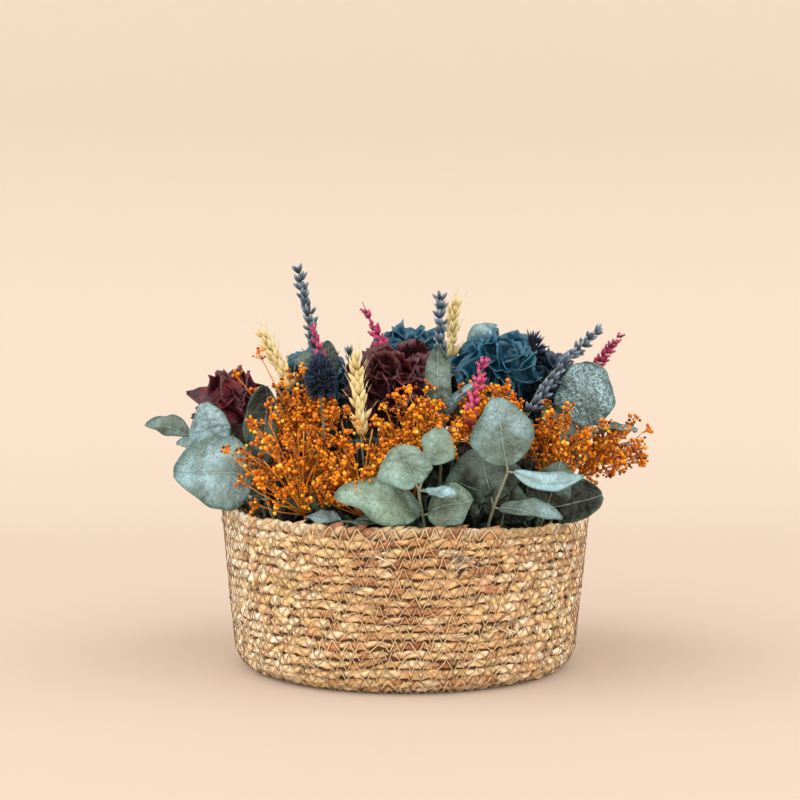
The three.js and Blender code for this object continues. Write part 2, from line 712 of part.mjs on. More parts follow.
// Eucalyptus round the sides and the back
leafyStem("eucalyptus_side_left", {
  foot: [-86, 16],
  joints: [[-98, 18, 106], [-112, 20, 130]],
  leaves: [
    { joint: 1, tip: [-152, 10, 142], face: [0.3, -0.4, 1], width: 28, cup: 0.08, arch: 0.08 },
    { joint: 1, tip: [-124, 44, 154], face: [-0.8, 0.5, 0.5], width: 26, cup: 0.1 },
  ],
});
leafyStem("eucalyptus_side_right", {
  foot: [88, 14],
  joints: [[100, 18, 106], [114, 24, 128]],
  leaves: [
    { joint: 1, tip: [152, 26, 140], face: [-0.2, 0.2, 1], width: 28, cup: 0.1, arch: 0.06 },
    { joint: 1, tip: [120, 52, 156], face: [0.8, 0.6, 0.3], width: 26, cup: 0.1 },
  ],
});
leafyStem("eucalyptus_back_left", {
  foot: [-60, 58],
  joints: [[-66, 68, 92], [-74, 80, 118], [-78, 86, 134]],
  leaves: [
    { joint: 2, tip: [-116, 104, 144], face: [-0.2, 0.9, 0.6], width: 36, cup: 0.06 },
    { joint: 2, tip: [-72, 90, 182], face: [-0.3, 1, 0.1], width: 30, cup: 0.1 },
    { joint: 1, tip: [-58, 116, 122], face: [0.1, 0.3, 1], width: 22, cup: 0.12 },
  ],
});
leafyStem("eucalyptus_back_centre", {
  foot: [-8, 80],
  joints: [[-8, 90, 92], [-4, 100, 112], [0, 104, 132]],
  leaves: [
    { joint: 2, tip: [2, 108, 178], face: [0, 1, 0.1], width: 40, cup: 0.06, wave: 0.05 },
    { joint: 1, tip: [-42, 122, 120], face: [0, 0.6, 0.8], width: 26, cup: 0.1 },
    { joint: 1, tip: [36, 124, 116], face: [0, 0.6, 0.8], width: 26, cup: 0.1 },
  ],
});
leafyStem("eucalyptus_back_right", {
  foot: [60, 60],
  joints: [[66, 70, 92], [74, 82, 118], [78, 88, 136]],
  leaves: [
    { joint: 2, tip: [116, 100, 150], face: [0.3, 0.9, 0.5], width: 34, cup: 0.06 },
    { joint: 2, tip: [66, 96, 184], face: [0.2, 1, 0.1], width: 30, cup: 0.1 },
    { joint: 1, tip: [96, 112, 118], face: [0.1, 0.3, 1], width: 22, cup: 0.12 },
  ],
});
leafyStem("eucalyptus_back_high", {
  foot: [6, 50],
  joints: [[10, 58, 130], [14, 66, 184]],
  leaves: [
    { joint: 1, tip: [12, 80, 214], face: [0.2, 1, 0.1], width: 22, cup: 0.1 },
    { joint: 1, tip: [-14, 82, 206], face: [-0.2, 1, 0.6], width: 22, cup: 0.12 },
    { joint: 1, tip: [36, 70, 206], face: [0.2, 0.8, 0.7], width: 20, cup: 0.12 },
  ],
});

// The big round heads, whose middles are kept free while the thinner stems are bent round them
const BURGUNDY = 0x4a1722;
const TEAL = 0x2a5e70;
const NAVY = 0x1e2c4c;
const heads = {
  hydrangea_burgundy_centre: {
    foot: [-8, -24],
    centre: [-9, -32, 180],
    radius: 30,
    florets: 9,
    sepal: 17,
    colour: BURGUNDY,
    seed: 5,
  },
  hydrangea_burgundy_left: {
    foot: [-74, 2],
    centre: [-112, -12, 168],
    radius: 24,
    florets: 7,
    sepal: 17,
    narrow: 0.7,
    colour: BURGUNDY,
    seed: 11,
  },
  hydrangea_teal_centre: {
    foot: [-10, 26],
    centre: [2, 28, 193],
    radius: 26,
    florets: 7,
    sepal: 16,
    colour: TEAL,
    seed: 17,
  },
  hydrangea_teal_right: {
    foot: [52, -2],
    centre: [58, -6, 190],
    radius: 25,
    florets: 7,
    sepal: 16,
    colour: TEAL,
    seed: 23,
  },
  hydrangea_navy_right: {
    foot: [76, 34],
    centre: [98, 16, 176],
    radius: 25,
    florets: 7,
    sepal: 16,
    colour: NAVY,
    seed: 31,
  },
  hydrangea_teal_back: {
    foot: [-56, 34],
    centre: [-60, 52, 176],
    radius: 27,
    florets: 7,
    sepal: 16,
    colour: TEAL,
    seed: 37,
  },
  hydrangea_burgundy_back: {
    foot: [42, 44],
    centre: [50, 52, 174],
    radius: 27,
    florets: 7,
    sepal: 16,
    colour: BURGUNDY,
    seed: 41,
  },
};
for (const [name, head] of Object.entries(heads)) standing.set(name, hydrangeaCore(head));

// Spikes, ears and thistle heads
spike("lavender_left", LAVENDER, { foot: [-36, -8], neck: [-57, -22, 206], tip: [-70, -20, 260] });
spike("lavender_centre", LAVENDER, { foot: [20, -12], neck: [23, -16, 198], tip: [23, -10, 243] });
spike("lavender_right", LAVENDER, { foot: [70, -8], neck: [97, -22, 193], tip: [128, -8, 219] });
spike("lavender_right_front", LAVENDER, {
  foot: [62, -30],
  neck: [78, -48, 166],
  tip: [103, -40, 200],
});
spike("lavender_back_left", LAVENDER, { foot: [-30, 40], neck: [-30, 58, 166], tip: [-40, 70, 206] });
spike("lavender_back_right", LAVENDER, { foot: [70, 18], neck: [84, 46, 170], tip: [98, 60, 206] });
spike("pink_spike_left", PINK_SPIKE, {
  foot: [-40, -30],
  neck: [-48, -40, 180],
  tip: [-59, -35, 221],
});
spike("pink_spike_centre", PINK_SPIKE, { foot: [-14, 4], neck: [-14, 2, 206], tip: [-30, 4, 240] });
spike("pink_spike_front", PINK_SPIKE, {
  foot: [36, -54],
  neck: [38, -80, 160],
  tip: [48, -76, 201],
});
spike("pink_spike_right", PINK_SPIKE, { foot: [92, -6], neck: [118, 0, 184], tip: [142, 5, 215] });
spike("pink_spike_back", PINK_SPIKE, { foot: [-22, 62], neck: [-22, 78, 166], tip: [-26, 88, 206] });
spike("wheat_centre", WHEAT, { foot: [-20, -50], neck: [-27, -82, 153], tip: [-31, -75, 205] });
spike("wheat_left", WHEAT, { foot: [-60, -14], neck: [-72, -36, 180], tip: [-93, -30, 219] });
spike("wheat_top", WHEAT, { foot: [26, 6], neck: [29, 4, 198], tip: [33, 8, 240] });
spike("wheat_back", WHEAT, { foot: [36, 76], neck: [38, 88, 160], tip: [44, 96, 206] });
thistle("thistle_left", {
  foot: [-42, -50],
  neck: [-52, -57, 171],
  tip: [-54, -53, 205],
  width: 19,
  points: 20,
  pointLength: 8,
});
thistle("thistle_right", {
  foot: [60, 16],
  neck: [82, 8, 192],
  tip: [85, 8, 215],
  width: 16,
  points: 17,
  pointLength: 7,
});
thistle("thistle_back", {
  foot: [-48, 66],
  neck: [-50, 84, 182],
  tip: [-54, 90, 204],
  width: 14,
  points: 15,
  pointLength: 6.5,
});

for (const [name, head] of Object.entries(heads)) hydrangea(name, head);

// Gypsophila in between
gypsophila("gypsophila_front_left", {
  foot: [-56, -60],
  hub: [-62, -72, 104],
  centre: [-70, -78, 142],
  spread: [34, 22, 36],
  buds: 12,
  seed: 3,
});
gypsophila("gypsophila_front", {
  foot: [-12, -66],
  hub: [-26, -82, 104],
  centre: [-32, -88, 138],
  spread: [30, 18, 36],
  buds: 12,
  seed: 7,
});
gypsophila("gypsophila_mid_left", {
  foot: [-56, -34],
  hub: [-60, -40, 140],
  centre: [-66, -44, 172],
  spread: [28, 18, 24],
  buds: 10,
  seed: 13,
});
gypsophila("gypsophila_centre", {
  foot: [4, -52],
  hub: [8, -72, 130],
  centre: [16, -82, 158],
  spread: [30, 18, 28],
  buds: 11,
  seed: 19,
});
gypsophila("gypsophila_top", {
  foot: [44, -38],
  hub: [50, -50, 144],
  centre: [52, -58, 170],
  spread: [22, 18, 23],
  buds: 10,
  seed: 29,
});
gypsophila("gypsophila_right", {
  foot: [72, -34],
  hub: [86, -54, 128],
  centre: [98, -64, 152],
  spread: [28, 20, 24],
  buds: 10,
  seed: 31,
});
gypsophila("gypsophila_far_right", {
  foot: [92, 2],
  hub: [112, -14, 122],
  centre: [134, -24, 146],
  spread: [26, 26, 30],
  buds: 11,
  seed: 43,
});
gypsophila("gypsophila_left", {
  foot: [-82, 36],
  hub: [-94, 34, 118],
  centre: [-104, 34, 148],
  spread: [28, 28, 28],
  buds: 10,
  seed: 47,
});
gypsophila("gypsophila_back", {
  foot: [-36, 74],
  hub: [-36, 84, 118],
  centre: [-34, 94, 150],
  spread: [32, 22, 32],
  buds: 11,
  seed: 53,
});
gypsophila("gypsophila_back_right", {
  foot: [84, 34],
  hub: [92, 48, 118],
  centre: [100, 56, 150],
  spread: [28, 26, 30],
  buds: 10,
  seed: 59,
});

foam();

export default new THREE.Group().add(holder, foliage, flowers);
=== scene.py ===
"""A round basket of stitched seagrass rope filled with preserved leaves and flowers.

Sizes are in millimetres in the frame of the CAD model: +Z is up, the front faces -Y, and the
origin is the middle of the basket's underside. Meshes are written in metres.
"""

import logging
import math
from dataclasses import dataclass, field
from enum import Enum
from functools import cache
from typing import Any, Iterable, Sequence

import bpy
import numpy as np
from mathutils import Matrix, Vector


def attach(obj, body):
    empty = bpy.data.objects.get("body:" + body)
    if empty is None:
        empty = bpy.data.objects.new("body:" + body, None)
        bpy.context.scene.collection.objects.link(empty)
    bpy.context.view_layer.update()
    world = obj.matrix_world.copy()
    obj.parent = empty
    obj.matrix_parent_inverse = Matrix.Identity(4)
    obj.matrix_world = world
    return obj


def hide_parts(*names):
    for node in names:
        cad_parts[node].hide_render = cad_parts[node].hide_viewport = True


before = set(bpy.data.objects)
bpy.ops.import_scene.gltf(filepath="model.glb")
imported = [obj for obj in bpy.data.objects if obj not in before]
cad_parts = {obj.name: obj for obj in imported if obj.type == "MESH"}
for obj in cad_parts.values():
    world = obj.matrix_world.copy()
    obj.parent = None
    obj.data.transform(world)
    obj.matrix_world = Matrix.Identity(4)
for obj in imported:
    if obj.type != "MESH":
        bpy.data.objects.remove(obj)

MM = 0.001
TAU = 2 * math.pi
GOLDEN_ANGLE = math.pi * (3.0 - math.sqrt(5.0))
GOLDEN_SHARE = 0.618
UP = np.array([0.0, 0.0, 1.0])
STEM_BOTTOM = 37.0
STEM_MOUTH = 66.0
STALK_FOOT = 58.0
STALK_LENGTH = 4.0
LEAF_ROUNDNESS = 0.56
LEAF_THICKNESS = 0.55
SEPAL_THICKNESS = 0.35
LOG = logging.getLogger("flower_basket")

Array = np.ndarray
Chance = np.random.Generator
Surface = tuple[np.ndarray, np.ndarray]
Point = Sequence[float]
Colour = tuple[float, float, float]
Stops = tuple[tuple[float, Colour], ...]
Material = bpy.types.Material
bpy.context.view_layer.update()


# Vectors


def vec(point: Point) -> Array:
    """Turn a point into an array of numbers."""
    return np.asarray(point, dtype=float)


def unit(vectors: Array) -> Array:
    """Scale one vector, or an array of them, to length one."""
    return vectors / np.maximum(np.linalg.norm(vectors, axis=-1, keepdims=True), 1e-9)


def polar(radius: Any, angle: Any, z: Any) -> Array:
    """Place points round the upright axis by radius, angle and height."""
    return np.stack(np.broadcast_arrays(radius * np.cos(angle), radius * np.sin(angle), z), axis=-1)


def any_side(axes: Array) -> Array:
    """Give one direction square to each axis."""
    pick = np.where(np.abs(axes[..., 2:3]) < 0.9, UP, np.array([1.0, 0.0, 0.0]))
    return unit(np.cross(axes, pick))


def frames(axes: Array, faces: Array) -> Array:
    """Build a turning matrix for each piece from the way it grows and the way it looks.

    Args:
        axes: The growing directions, one a row.
        faces: The directions that the faces look in, one a row or one for all.

    Returns:
        Matrices whose columns are the side, the face and the growing direction.
    """
    along = unit(axes)
    out = unit(faces - along * np.sum(faces * along, axis=-1, keepdims=True))
    return np.stack([np.cross(along, out), out, along], axis=-1)


def smooth_line(points: Sequence[Point], steps: int) -> Array:
    """Run a Catmull-Rom line through some points.

    Args:
        points: The points to pass through.
        steps: The number of steps from one point to the next.

    Returns:
        The points of the line.
    """
    knots = vec(points)
    ends = np.vstack([2 * knots[0] - knots[1], knots, 2 * knots[-1] - knots[-2]])
    t = np.linspace(0.0, 1.0, steps, endpoint=False)[:, None]
    spans = []
    for a, b, c, d in zip(ends, ends[1:], ends[2:], ends[3:]):
        bend = (2 * a - 5 * b + 4 * c - d) * t**2 + (3 * b - a - 3 * c + d) * t**3
        spans.append(0.5 * (2 * b + (c - a) * t + bend))
    return np.vstack([*spans, knots[-1:]])


def on_ball(count: int, low: float, start: float = 0.0) -> Array:
    """Spread directions evenly over a ball by the golden angle.

    Args:
        count: The number of directions.
        low: How far below the middle the last one is, from 0 to 1.
        start: A turn of the whole spread, in radians.

    Returns:
        The directions, highest first.
    """
    i = np.arange(count)
    height = 1.0 - (1.0 + low) * (i + 0.5) / count
    return polar(np.sqrt(np.maximum(0.0, 1.0 - height**2)), i * GOLDEN_ANGLE + start, height)


# Meshes


class Shape:
    """Points, faces and numbers for the finishes, gathered until they become one object."""

    def __init__(self) -> None:
        """Start with nothing."""
        self.points: list[Array] = []
        self.faces: dict[int, list[Array]] = {3: [], 4: []}
        self.slots: dict[int, list[Array]] = {3: [], 4: []}
        self.traits: list[dict[str, Array]] = []
        self.count = 0

    def add(self, points: Array, faces: Array, slot: int = 0, **traits: Any) -> None:
        """Add a piece of surface.

        Args:
            points: Its points in millimetres.
            faces: The corners of its faces, three or four a row.
            slot: The finish that it takes.
            **traits: Numbers for the finish, one a point or one for all.
        """
        flat = points.reshape(-1, 3)
        sides = faces.shape[-1]
        rows = faces.reshape(-1, sides)
        self.points.append(flat)
        self.faces[sides].append(rows + self.count)
        self.slots[sides].append(np.full(len(rows), slot))
        spread = {k: np.ravel(np.broadcast_to(np.ravel(v), len(flat))) for k, v in traits.items()}
        self.traits.append({k: v.astype(np.float32) for k, v in spread.items()})
        self.count += len(flat)

    def add_copies(
        self,
        template: Surface,
        origins: Array,
        ways: Array,
        sizes: Any,
        faces: Any = None,
        rise: bool = False,
        slot: int = 0,
        **traits: Any,
    ) -> None:
        """Add many turned and scaled copies of one small surface.

        Args:
            template: Its points and faces. Its third axis is the way it grows.
            origins: Where each copy's own origin goes.
            ways: The way that each copy grows.
            sizes: The scale along side, face and growing direction, one a copy or one for all.
            faces: The way that each copy looks, if it matters.
            rise: Whether the finish is told how far up a copy each point is.
            slot: The finish that they take.
            **traits: Numbers for the finish, one a copy or one for all.
        """
        points, corners = template
        many, each = len(origins), len(points)
        turns = frames(ways, any_side(ways) if faces is None else faces)
        scaled = points[None] * np.broadcast_to(sizes, (many, 3))[:, None, :]
        placed = np.einsum("nij,nkj->nki", turns, scaled) + origins[:, None, :]
        shifted = corners[None] + (np.arange(many) * each)[:, None, None]
        spread = {k: np.repeat(np.broadcast_to(v, many), each) for k, v in traits.items()}
        if rise:
            spread["along"] = np.tile(points[:, 2], many)
        self.add(placed, shifted.reshape(-1, corners.shape[-1]), slot, **spread)

    def add_tube(self, path: Array, radius: Any, sides: int, **traits: Any) -> None:
        """Add a round skin along a path, as tube makes it."""
        self.add(*tube(path, radius, sides), **traits)

    def add_sheet(self, grid: Array, thickness: float, **traits: Any) -> None:
        """Add a grid of points as a thick sheet, with numbers for the finish from its grid."""
        both = {k: [np.broadcast_to(v, grid.shape[:2])] * 2 for k, v in traits.items()}
        self.add(*thick_sheet(grid, thickness), **both)

    def build(self, name: str, slot: str, node: str | None, *finishes: str) -> None:
        """Turn what was gathered into an object that stands still with the basket.

        Args:
            name: The piece's name.
            slot: The record's material slot. It is not used.
            node: The CAD node that it replaces, if any.
            *finishes: The names of its finishes, by slot of the mesh.
        """
        points = np.vstack(self.points) * MM
        used = [s for s in (3, 4) if self.faces[s]]
        blocks = [np.vstack(self.faces[s]) for s in used]
        slots = np.concatenate([np.concatenate(self.slots[s]) for s in used])
        totals = np.concatenate([np.full(len(b), b.shape[1]) for b in blocks])
        loops = np.concatenate([b.reshape(-1) for b in blocks])
        starts = np.concatenate([[0], np.cumsum(totals)[:-1]])
        mesh = bpy.data.meshes.new(name)
        mesh.vertices.add(len(points))
        mesh.vertices.foreach_set("co", points.astype(np.float32).reshape(-1))
        mesh.loops.add(len(loops))
        mesh.loops.foreach_set("vertex_index", loops.astype(np.int32))
        mesh.polygons.add(len(totals))
        mesh.polygons.foreach_set("loop_start", starts.astype(np.int32))
        mesh.polygons.foreach_set("material_index", slots.astype(np.int32))
        mesh.update(calc_edges=True)
        mesh.validate()
        mesh.shade_smooth()
        zeros = [np.zeros(len(p), dtype=np.float32) for p in self.points]
        for trait in sorted({key for part in self.traits for key in part}):
            values = [part.get(trait, zero) for part, zero in zip(self.traits, zeros)]
            layer = mesh.attributes.new(trait, "FLOAT", "POINT")
            layer.data.foreach_set("value", np.concatenate(values))
        for finish in finishes:
            mesh.materials.append(material_of(finish))
        piece = bpy.data.objects.new(name, mesh)
        bpy.context.collection.objects.link(piece)
        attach(piece, "root")
        if node is not None:
            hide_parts(node)
        LOG.info("%s: %d triangles", name, int(np.sum(totals - 2)))


def ring_faces(rings: int, sides: int, closed: bool = True) -> Array:
    """Number the four corners of each face of a skin of rings.

    Args:
        rings: The number of rings.
        sides: The number of points in a ring.
        closed: Whether a ring comes round to its start.

    Returns:
        Four corners a face.
    """
    i, j = np.mgrid[: rings - 1, : sides if closed else sides - 1]
    k = (j + 1) % sides
    corners = [i * sides + j, i * sides + k, (i + 1) * sides + k, (i + 1) * sides + j]
    return np.stack(corners, axis=-1).reshape(-1, 4)


def tube(path: Array, radius: Any, sides: int) -> Surface:
    """Make a round skin along a path, narrowed to a point at both ends.

    Args:
        path: The points of its middle.
        radius: Its radius, one for all or one a point.
        sides: Its number of sides.

    Returns:
        Points and faces.
    """
    heading = unit(np.gradient(path, axis=0))
    across = any_side(heading[:1])[0]
    sideways = []
    for way in heading:
        across = unit(across - way * np.dot(across, way))
        sideways.append(across)
    side = np.array(sideways)
    other = np.cross(heading, side)
    angle = np.arange(sides) * TAU / sides
    wide = np.broadcast_to(radius, (len(path),)).astype(float)
    rings = side[:, None] * np.cos(angle)[None, :, None]
    rings = rings + other[:, None] * np.sin(angle)[None, :, None]
    points = path[:, None] + rings * wide[:, None, None]
    ends = np.repeat(path[[0, -1]][:, None], sides, axis=1)
    skin = np.concatenate([ends[:1], points, ends[1:]])
    return skin.reshape(-1, 3), ring_faces(len(path) + 2, sides)


def pod(sides: int, outline: Sequence[float]) -> Surface:
    """Make a small closed turned body of unit length that grows along Z.

    Args:
        sides: Its number of sides.
        outline: Its radius at even steps from root to tip, nothing at both ends.

    Returns:
        Points and faces of three corners.
    """
    v = np.linspace(0.0, 1.0, len(outline))[1:-1, None]
    radius = np.asarray(outline)[1:-1, None]
    skin = polar(radius, np.arange(sides) * TAU / sides, v).reshape(-1, 3)
    quads = ring_faces(len(v), sides) + 1
    last = len(skin) + 1
    j = np.arange(sides)
    k = (j + 1) % sides
    root = np.stack([0 * j, 1 + k, 1 + j], axis=-1)
    tip = np.stack([0 * j + last, last - sides + j, last - sides + k], axis=-1)
    faces = np.concatenate([quads[:, [0, 1, 2]], quads[:, [0, 2, 3]], root, tip])
    return np.concatenate([[0.0 * UP], skin, [UP]]), faces


def thick_sheet(grid: Array, thickness: float) -> Surface:
    """Give a grid of points two faces and a rim.

    Args:
        grid: Rows of points, as rows, columns and three numbers.
        thickness: The distance between its faces.

    Returns:
        Points, upper face first, and faces.
    """
    rows, columns = grid.shape[:2]
    normal = unit(np.cross(np.gradient(grid, axis=1), np.gradient(grid, axis=0)))
    upper, lower = grid + normal * thickness / 2, grid - normal * thickness / 2
    face = ring_faces(rows, columns, closed=False)
    count = rows * columns
    index = np.arange(count).reshape(rows, columns)
    rim = np.array([*index[0], *index[1:, -1], *index[-1, -2::-1], *index[-2:0:-1, 0]])
    after = np.roll(rim, -1)
    band = np.stack([rim, after, after + count, rim + count], axis=-1)
    points = np.concatenate([upper.reshape(-1, 3), lower.reshape(-1, 3)])
    return points, np.concatenate([face[:, ::-1], face + count, band])


# Shader maths


class Wire:
    """One socket of a node tree that can be reckoned with."""

    def __init__(self, recipe: "Recipe", socket: bpy.types.NodeSocket) -> None:
        """Keep a socket and the tree that it is in."""
        self.recipe = recipe
        self.socket = socket

    def math(self, operation: str, other: Any = 0.0, first: Any = None) -> "Wire":
        """Run a Math node on this value, or on another first value, and a second one."""
        inputs = (self, other) if first is None else (first, self)
        return self.recipe.node("ShaderNodeMath", {"operation": operation}, inputs)

    def __add__(self, other: Any) -> "Wire":
        """Add."""
        return self.math("ADD", other)

    __radd__ = __add__

    def __sub__(self, other: Any) -> "Wire":
        """Take away."""
        return self.math("SUBTRACT", other)

    def __rsub__(self, other: Any) -> "Wire":
        """Take from a number."""
        return self.math("SUBTRACT", first=other)

    def __mul__(self, other: Any) -> "Wire":
        """Multiply."""
        return self.math("MULTIPLY", other)

    __rmul__ = __mul__

    def __truediv__(self, other: Any) -> "Wire":
        """Divide."""
        return self.math("DIVIDE", other)

    def between(self, low: float, high: float) -> "Wire":
        """Ramp smoothly from 0 at low to 1 at high."""
        settings = {"interpolation_type": "SMOOTHSTEP"}
        return self.recipe.node("ShaderNodeMapRange", settings, {0: self, 1: low, 2: high})


class Recipe:
    """A material's node tree, with its shader and output in place."""

    def __init__(self, name: str, roughness: float, specular: float = 0.5) -> None:
        """Start a material.

        Args:
            name: Its name.
            roughness: The shader's roughness where nothing changes it.
            specular: The shader's specular level.
        """
        self.material = bpy.data.materials.new(name)
        self.material.use_nodes = True
        self.tree = self.material.node_tree
        self.tree.nodes.clear()
        self.shader = self.tree.nodes.new("ShaderNodeBsdfPrincipled")
        output = self.tree.nodes.new("ShaderNodeOutputMaterial")
        self.tree.links.new(self.shader.outputs[0], output.inputs[0])
        self.shader.inputs["Roughness"].default_value = roughness
        self.shader.inputs["Specular IOR Level"].default_value = specular

    def node(self, kind: str, settings: dict[str, Any], inputs: Any, output: Any = 0) -> Wire:
        """Add a node.

        Args:
            kind: Its type.
            settings: Its properties. Stops are those of a colour ramp.
            inputs: Values or wires for its sockets, in order or by name or number.
            output: The socket to give back.

        Returns:
            The node's output.
        """
        made = self.tree.nodes.new(kind)
        for key, value in settings.items():
            if key == "stops":
                self._set_stops(made.color_ramp, value)
            else:
                setattr(made, key, value)
        for key, value in inputs.items() if isinstance(inputs, dict) else enumerate(inputs):
            self._feed(made.inputs[key], value)
        return Wire(self, made.outputs[output])

    def _feed(self, socket: bpy.types.NodeSocket, value: Any) -> None:
        """Link a wire to a socket, or set its value.

        Args:
            socket: The socket.
            value: A wire, a number, a colour or another setting.
        """
        if isinstance(value, Wire):
            self.tree.links.new(value.socket, socket)
        else:
            socket.default_value = (*value, 1.0) if socket.type == "RGBA" else value

    @staticmethod
    def _set_stops(ramp: bpy.types.ColorRamp, stops: Stops) -> None:
        """Give a colour ramp its stops.

        Args:
            ramp: The ramp.
            stops: Its positions and colours.
        """
        while len(ramp.elements) > 1:
            ramp.elements.remove(ramp.elements[-1])
        for i, (position, colour) in enumerate(stops):
            element = ramp.elements[0] if i == 0 else ramp.elements.new(position)
            element.position = position
            element.color = (*colour, 1.0)

    def traits(self, *names: str) -> list[Wire]:
        """Read numbers that the mesh carries."""
        kind = "ShaderNodeAttribute"
        return [self.node(kind, {"attribute_name": name}, (), "Fac") for name in names]

    def place(self) -> Wire:
        """Read the place on the object, in metres."""
        return self.node("ShaderNodeTexCoord", {}, (), "Object")

    def vector(self, *values: Any) -> Wire:
        """Join three values into a vector."""
        return self.node("ShaderNodeCombineXYZ", {}, values)

    def noise(self, where: Wire, scale: float, detail: float, rough: float = 0.5) -> Wire:
        """Read smooth noise from 0 to 1.

        Args:
            where: The place to read it.
            scale: How fine it is.
            detail: Its number of finer layers.
            rough: The strength of the finer layers.

        Returns:
            The noise.
        """
        inputs = {"Vector": where, "Scale": scale, "Detail": detail, "Roughness": rough}
        return self.node("ShaderNodeTexNoise", {}, inputs, "Fac")

    def cells(self, where: Wire, scale: float) -> Wire:
        """Read the distance from the nearest wall of an uneven net."""
        settings, inputs = {"feature": "DISTANCE_TO_EDGE"}, {"Vector": where, "Scale": scale}
        return self.node("ShaderNodeTexVoronoi", settings, inputs, "Distance")

    def ramp(self, value: Wire, stops: Stops) -> Wire:
        """Turn a value into a colour."""
        return self.node("ShaderNodeValToRGB", {"stops": stops}, (value,), "Color")

    def mix(self, factor: Any, first: Any, second: Any, blend: str = "MIX") -> Wire:
        """Mix two colours by a factor, from none of the second to all of it."""
        settings = {"data_type": "RGBA", "blend_type": blend}
        return self.node("ShaderNodeMix", settings, {0: factor, 6: first, 7: second}, 2)

    def finish(
        self, colour: Wire, height: Wire | None = None, depth: float = 0.0, rough: Any = None
    ) -> Material:
        """Feed the shader.

        Args:
            colour: The base colour.
            height: Relief from 0 to 1.
            depth: The relief's depth in metres.
            rough: A roughness that changes over the surface.

        Returns:
            The material.
        """
        self._feed(self.shader.inputs["Base Color"], colour)
        if height is not None:
            inputs = {"Height": height, "Distance": depth, "Strength": 1.0}
            self._feed(self.shader.inputs["Normal"], self.node("ShaderNodeBump", {}, inputs))
        if rough is not None:
            self._feed(self.shader.inputs["Roughness"], rough)
        return self.material


def srgb(*levels: int) -> Colour:
    """Turn red, green and blue as a screen shows them into the light that they stand for."""
    shares = [level / 255 for level in levels]
    return tuple(s / 12.92 if s <= 0.04045 else ((s + 0.055) / 1.055) ** 2.4 for s in shares)


def stops_of(*rows: tuple[float, int, int, int]) -> Stops:
    """List the stops of a colour ramp, each a position and a colour as on a screen."""
    return tuple((row[0], srgb(*row[1:])) for row in rows)


# Finishes


@dataclass(frozen=True)
class SeagrassFinish:
    """Dried seagrass leaf: tan strips of several colours with fine long fibres, with painted shade
    in the recesses and along the stitches and painted light on the sides of the basket.
    """

    strips: Stops = stops_of(
        (0.0, 146, 86, 52),
        (0.12, 198, 138, 90),
        (0.3, 236, 186, 130),
        (0.46, 244, 208, 152),
        (0.56, 234, 200, 134),
        (0.64, 238, 186, 144),
        (0.76, 252, 222, 172),
        (1.0, 255, 242, 214),
    )
    # Dark brown for the fibre streaks, and the colour of all painted shade on the rope.
    shade: Colour = srgb(66, 36, 20)

    def build(self) -> Material:
        """Make the material.

        Returns:
            The finished material.
        """
        recipe = Recipe("seagrass_leaf", 0.72)
        along, around, tone, deep, fair = recipe.traits("along", "around", "tone", "deep", "fair")
        rise, number = recipe.traits("rise", "stitch")
        fibre = recipe.noise(recipe.vector(along * 0.04, around * 1.6, tone * 9.0), 3.0, 3.0)
        fine = recipe.noise(recipe.vector(along * 0.2, around * 9.0, tone * 5.0), 3.0, 2.0)
        blotch = recipe.noise(recipe.vector(along * 0.12, around * 0.5, tone * 30.0), 1.5, 2.0)
        body = recipe.ramp(tone + (blotch - 0.5) * 0.4, self.strips)
        lean = rise * 0.5
        stitch = number + (blotch - 0.5) * 0.12
        ups = ((stitch - lean + 0.5).math("FRACT") - 0.5).math("ABSOLUTE")
        downs = ((stitch + lean + 0.5).math("FRACT") - 0.5).math("ABSOLUTE")
        thread = ups.math("MINIMUM", downs)
        # Painted shadow of the thread, in patches along the stitch lines.
        thread_shadow = (1.0 - thread.between(0.02, 0.1)) * blotch.between(0.35, 0.6)
        # Fibre streaks are the leaf's own grain; on the sides of the basket they and the painted
        # thread shadow are weakened, as painted light.
        streaked = recipe.mix(fibre.between(0.54, 0.66) * (0.6 - fair * 0.55), body, self.shade)
        thread_shadowed = recipe.mix(thread_shadow * (0.8 - fair * 0.5), streaked, self.shade)
        # Painted shade that the mesh carries, in the recesses between and behind the strips.
        shaded = recipe.mix(deep * 0.8, thread_shadowed, self.shade)
        relief = fibre * 0.12 + fine * 0.05 + thread.between(0.0, 0.24) * 0.9
        return recipe.finish(shaded, relief, 0.0014, 0.85 - fine * 0.25)


@dataclass(frozen=True)
class ThreadFinish:
    """Twisted tan thread that stitches the rope, darker on the sides of the basket as painted
    shade.
    """

    colour: Colour = srgb(255, 224, 176)
    # Darker thread, for tone that differs at random and for painted shade on the basket's sides.
    dark: Colour = srgb(110, 70, 42)

    def build(self) -> Material:
        """Make the material.

        Returns:
            The finished material.
        """
        recipe = Recipe("stitching_thread", 0.75)
        twist = recipe.noise(recipe.place(), 900.0, 1.0)
        body = recipe.mix(*recipe.traits("tone"), self.colour, self.dark)
        return recipe.finish(recipe.mix(twist * 0.3, body, self.dark), twist, 0.0001)


@dataclass(frozen=True)
class FoamFinish:
    """Dry floral foam, dark in patches with painted shade."""

    foam: Colour = srgb(46, 50, 34)
    painted_shade: Colour = srgb(26, 22, 16)

    def build(self) -> Material:
        """Make the material.

        Returns:
            The finished material.
        """
        recipe = Recipe("dry_floral_foam", 0.95)
        cells = recipe.noise(recipe.place(), 700.0, 3.0)
        patches = recipe.noise(recipe.place(), 60.0, 3.0)
        # Patches of painted shade over the foam.
        colour = recipe.mix(patches.between(0.35, 0.6), self.foam, self.painted_shade)
        return recipe.finish(colour, cells + patches, 0.0015)


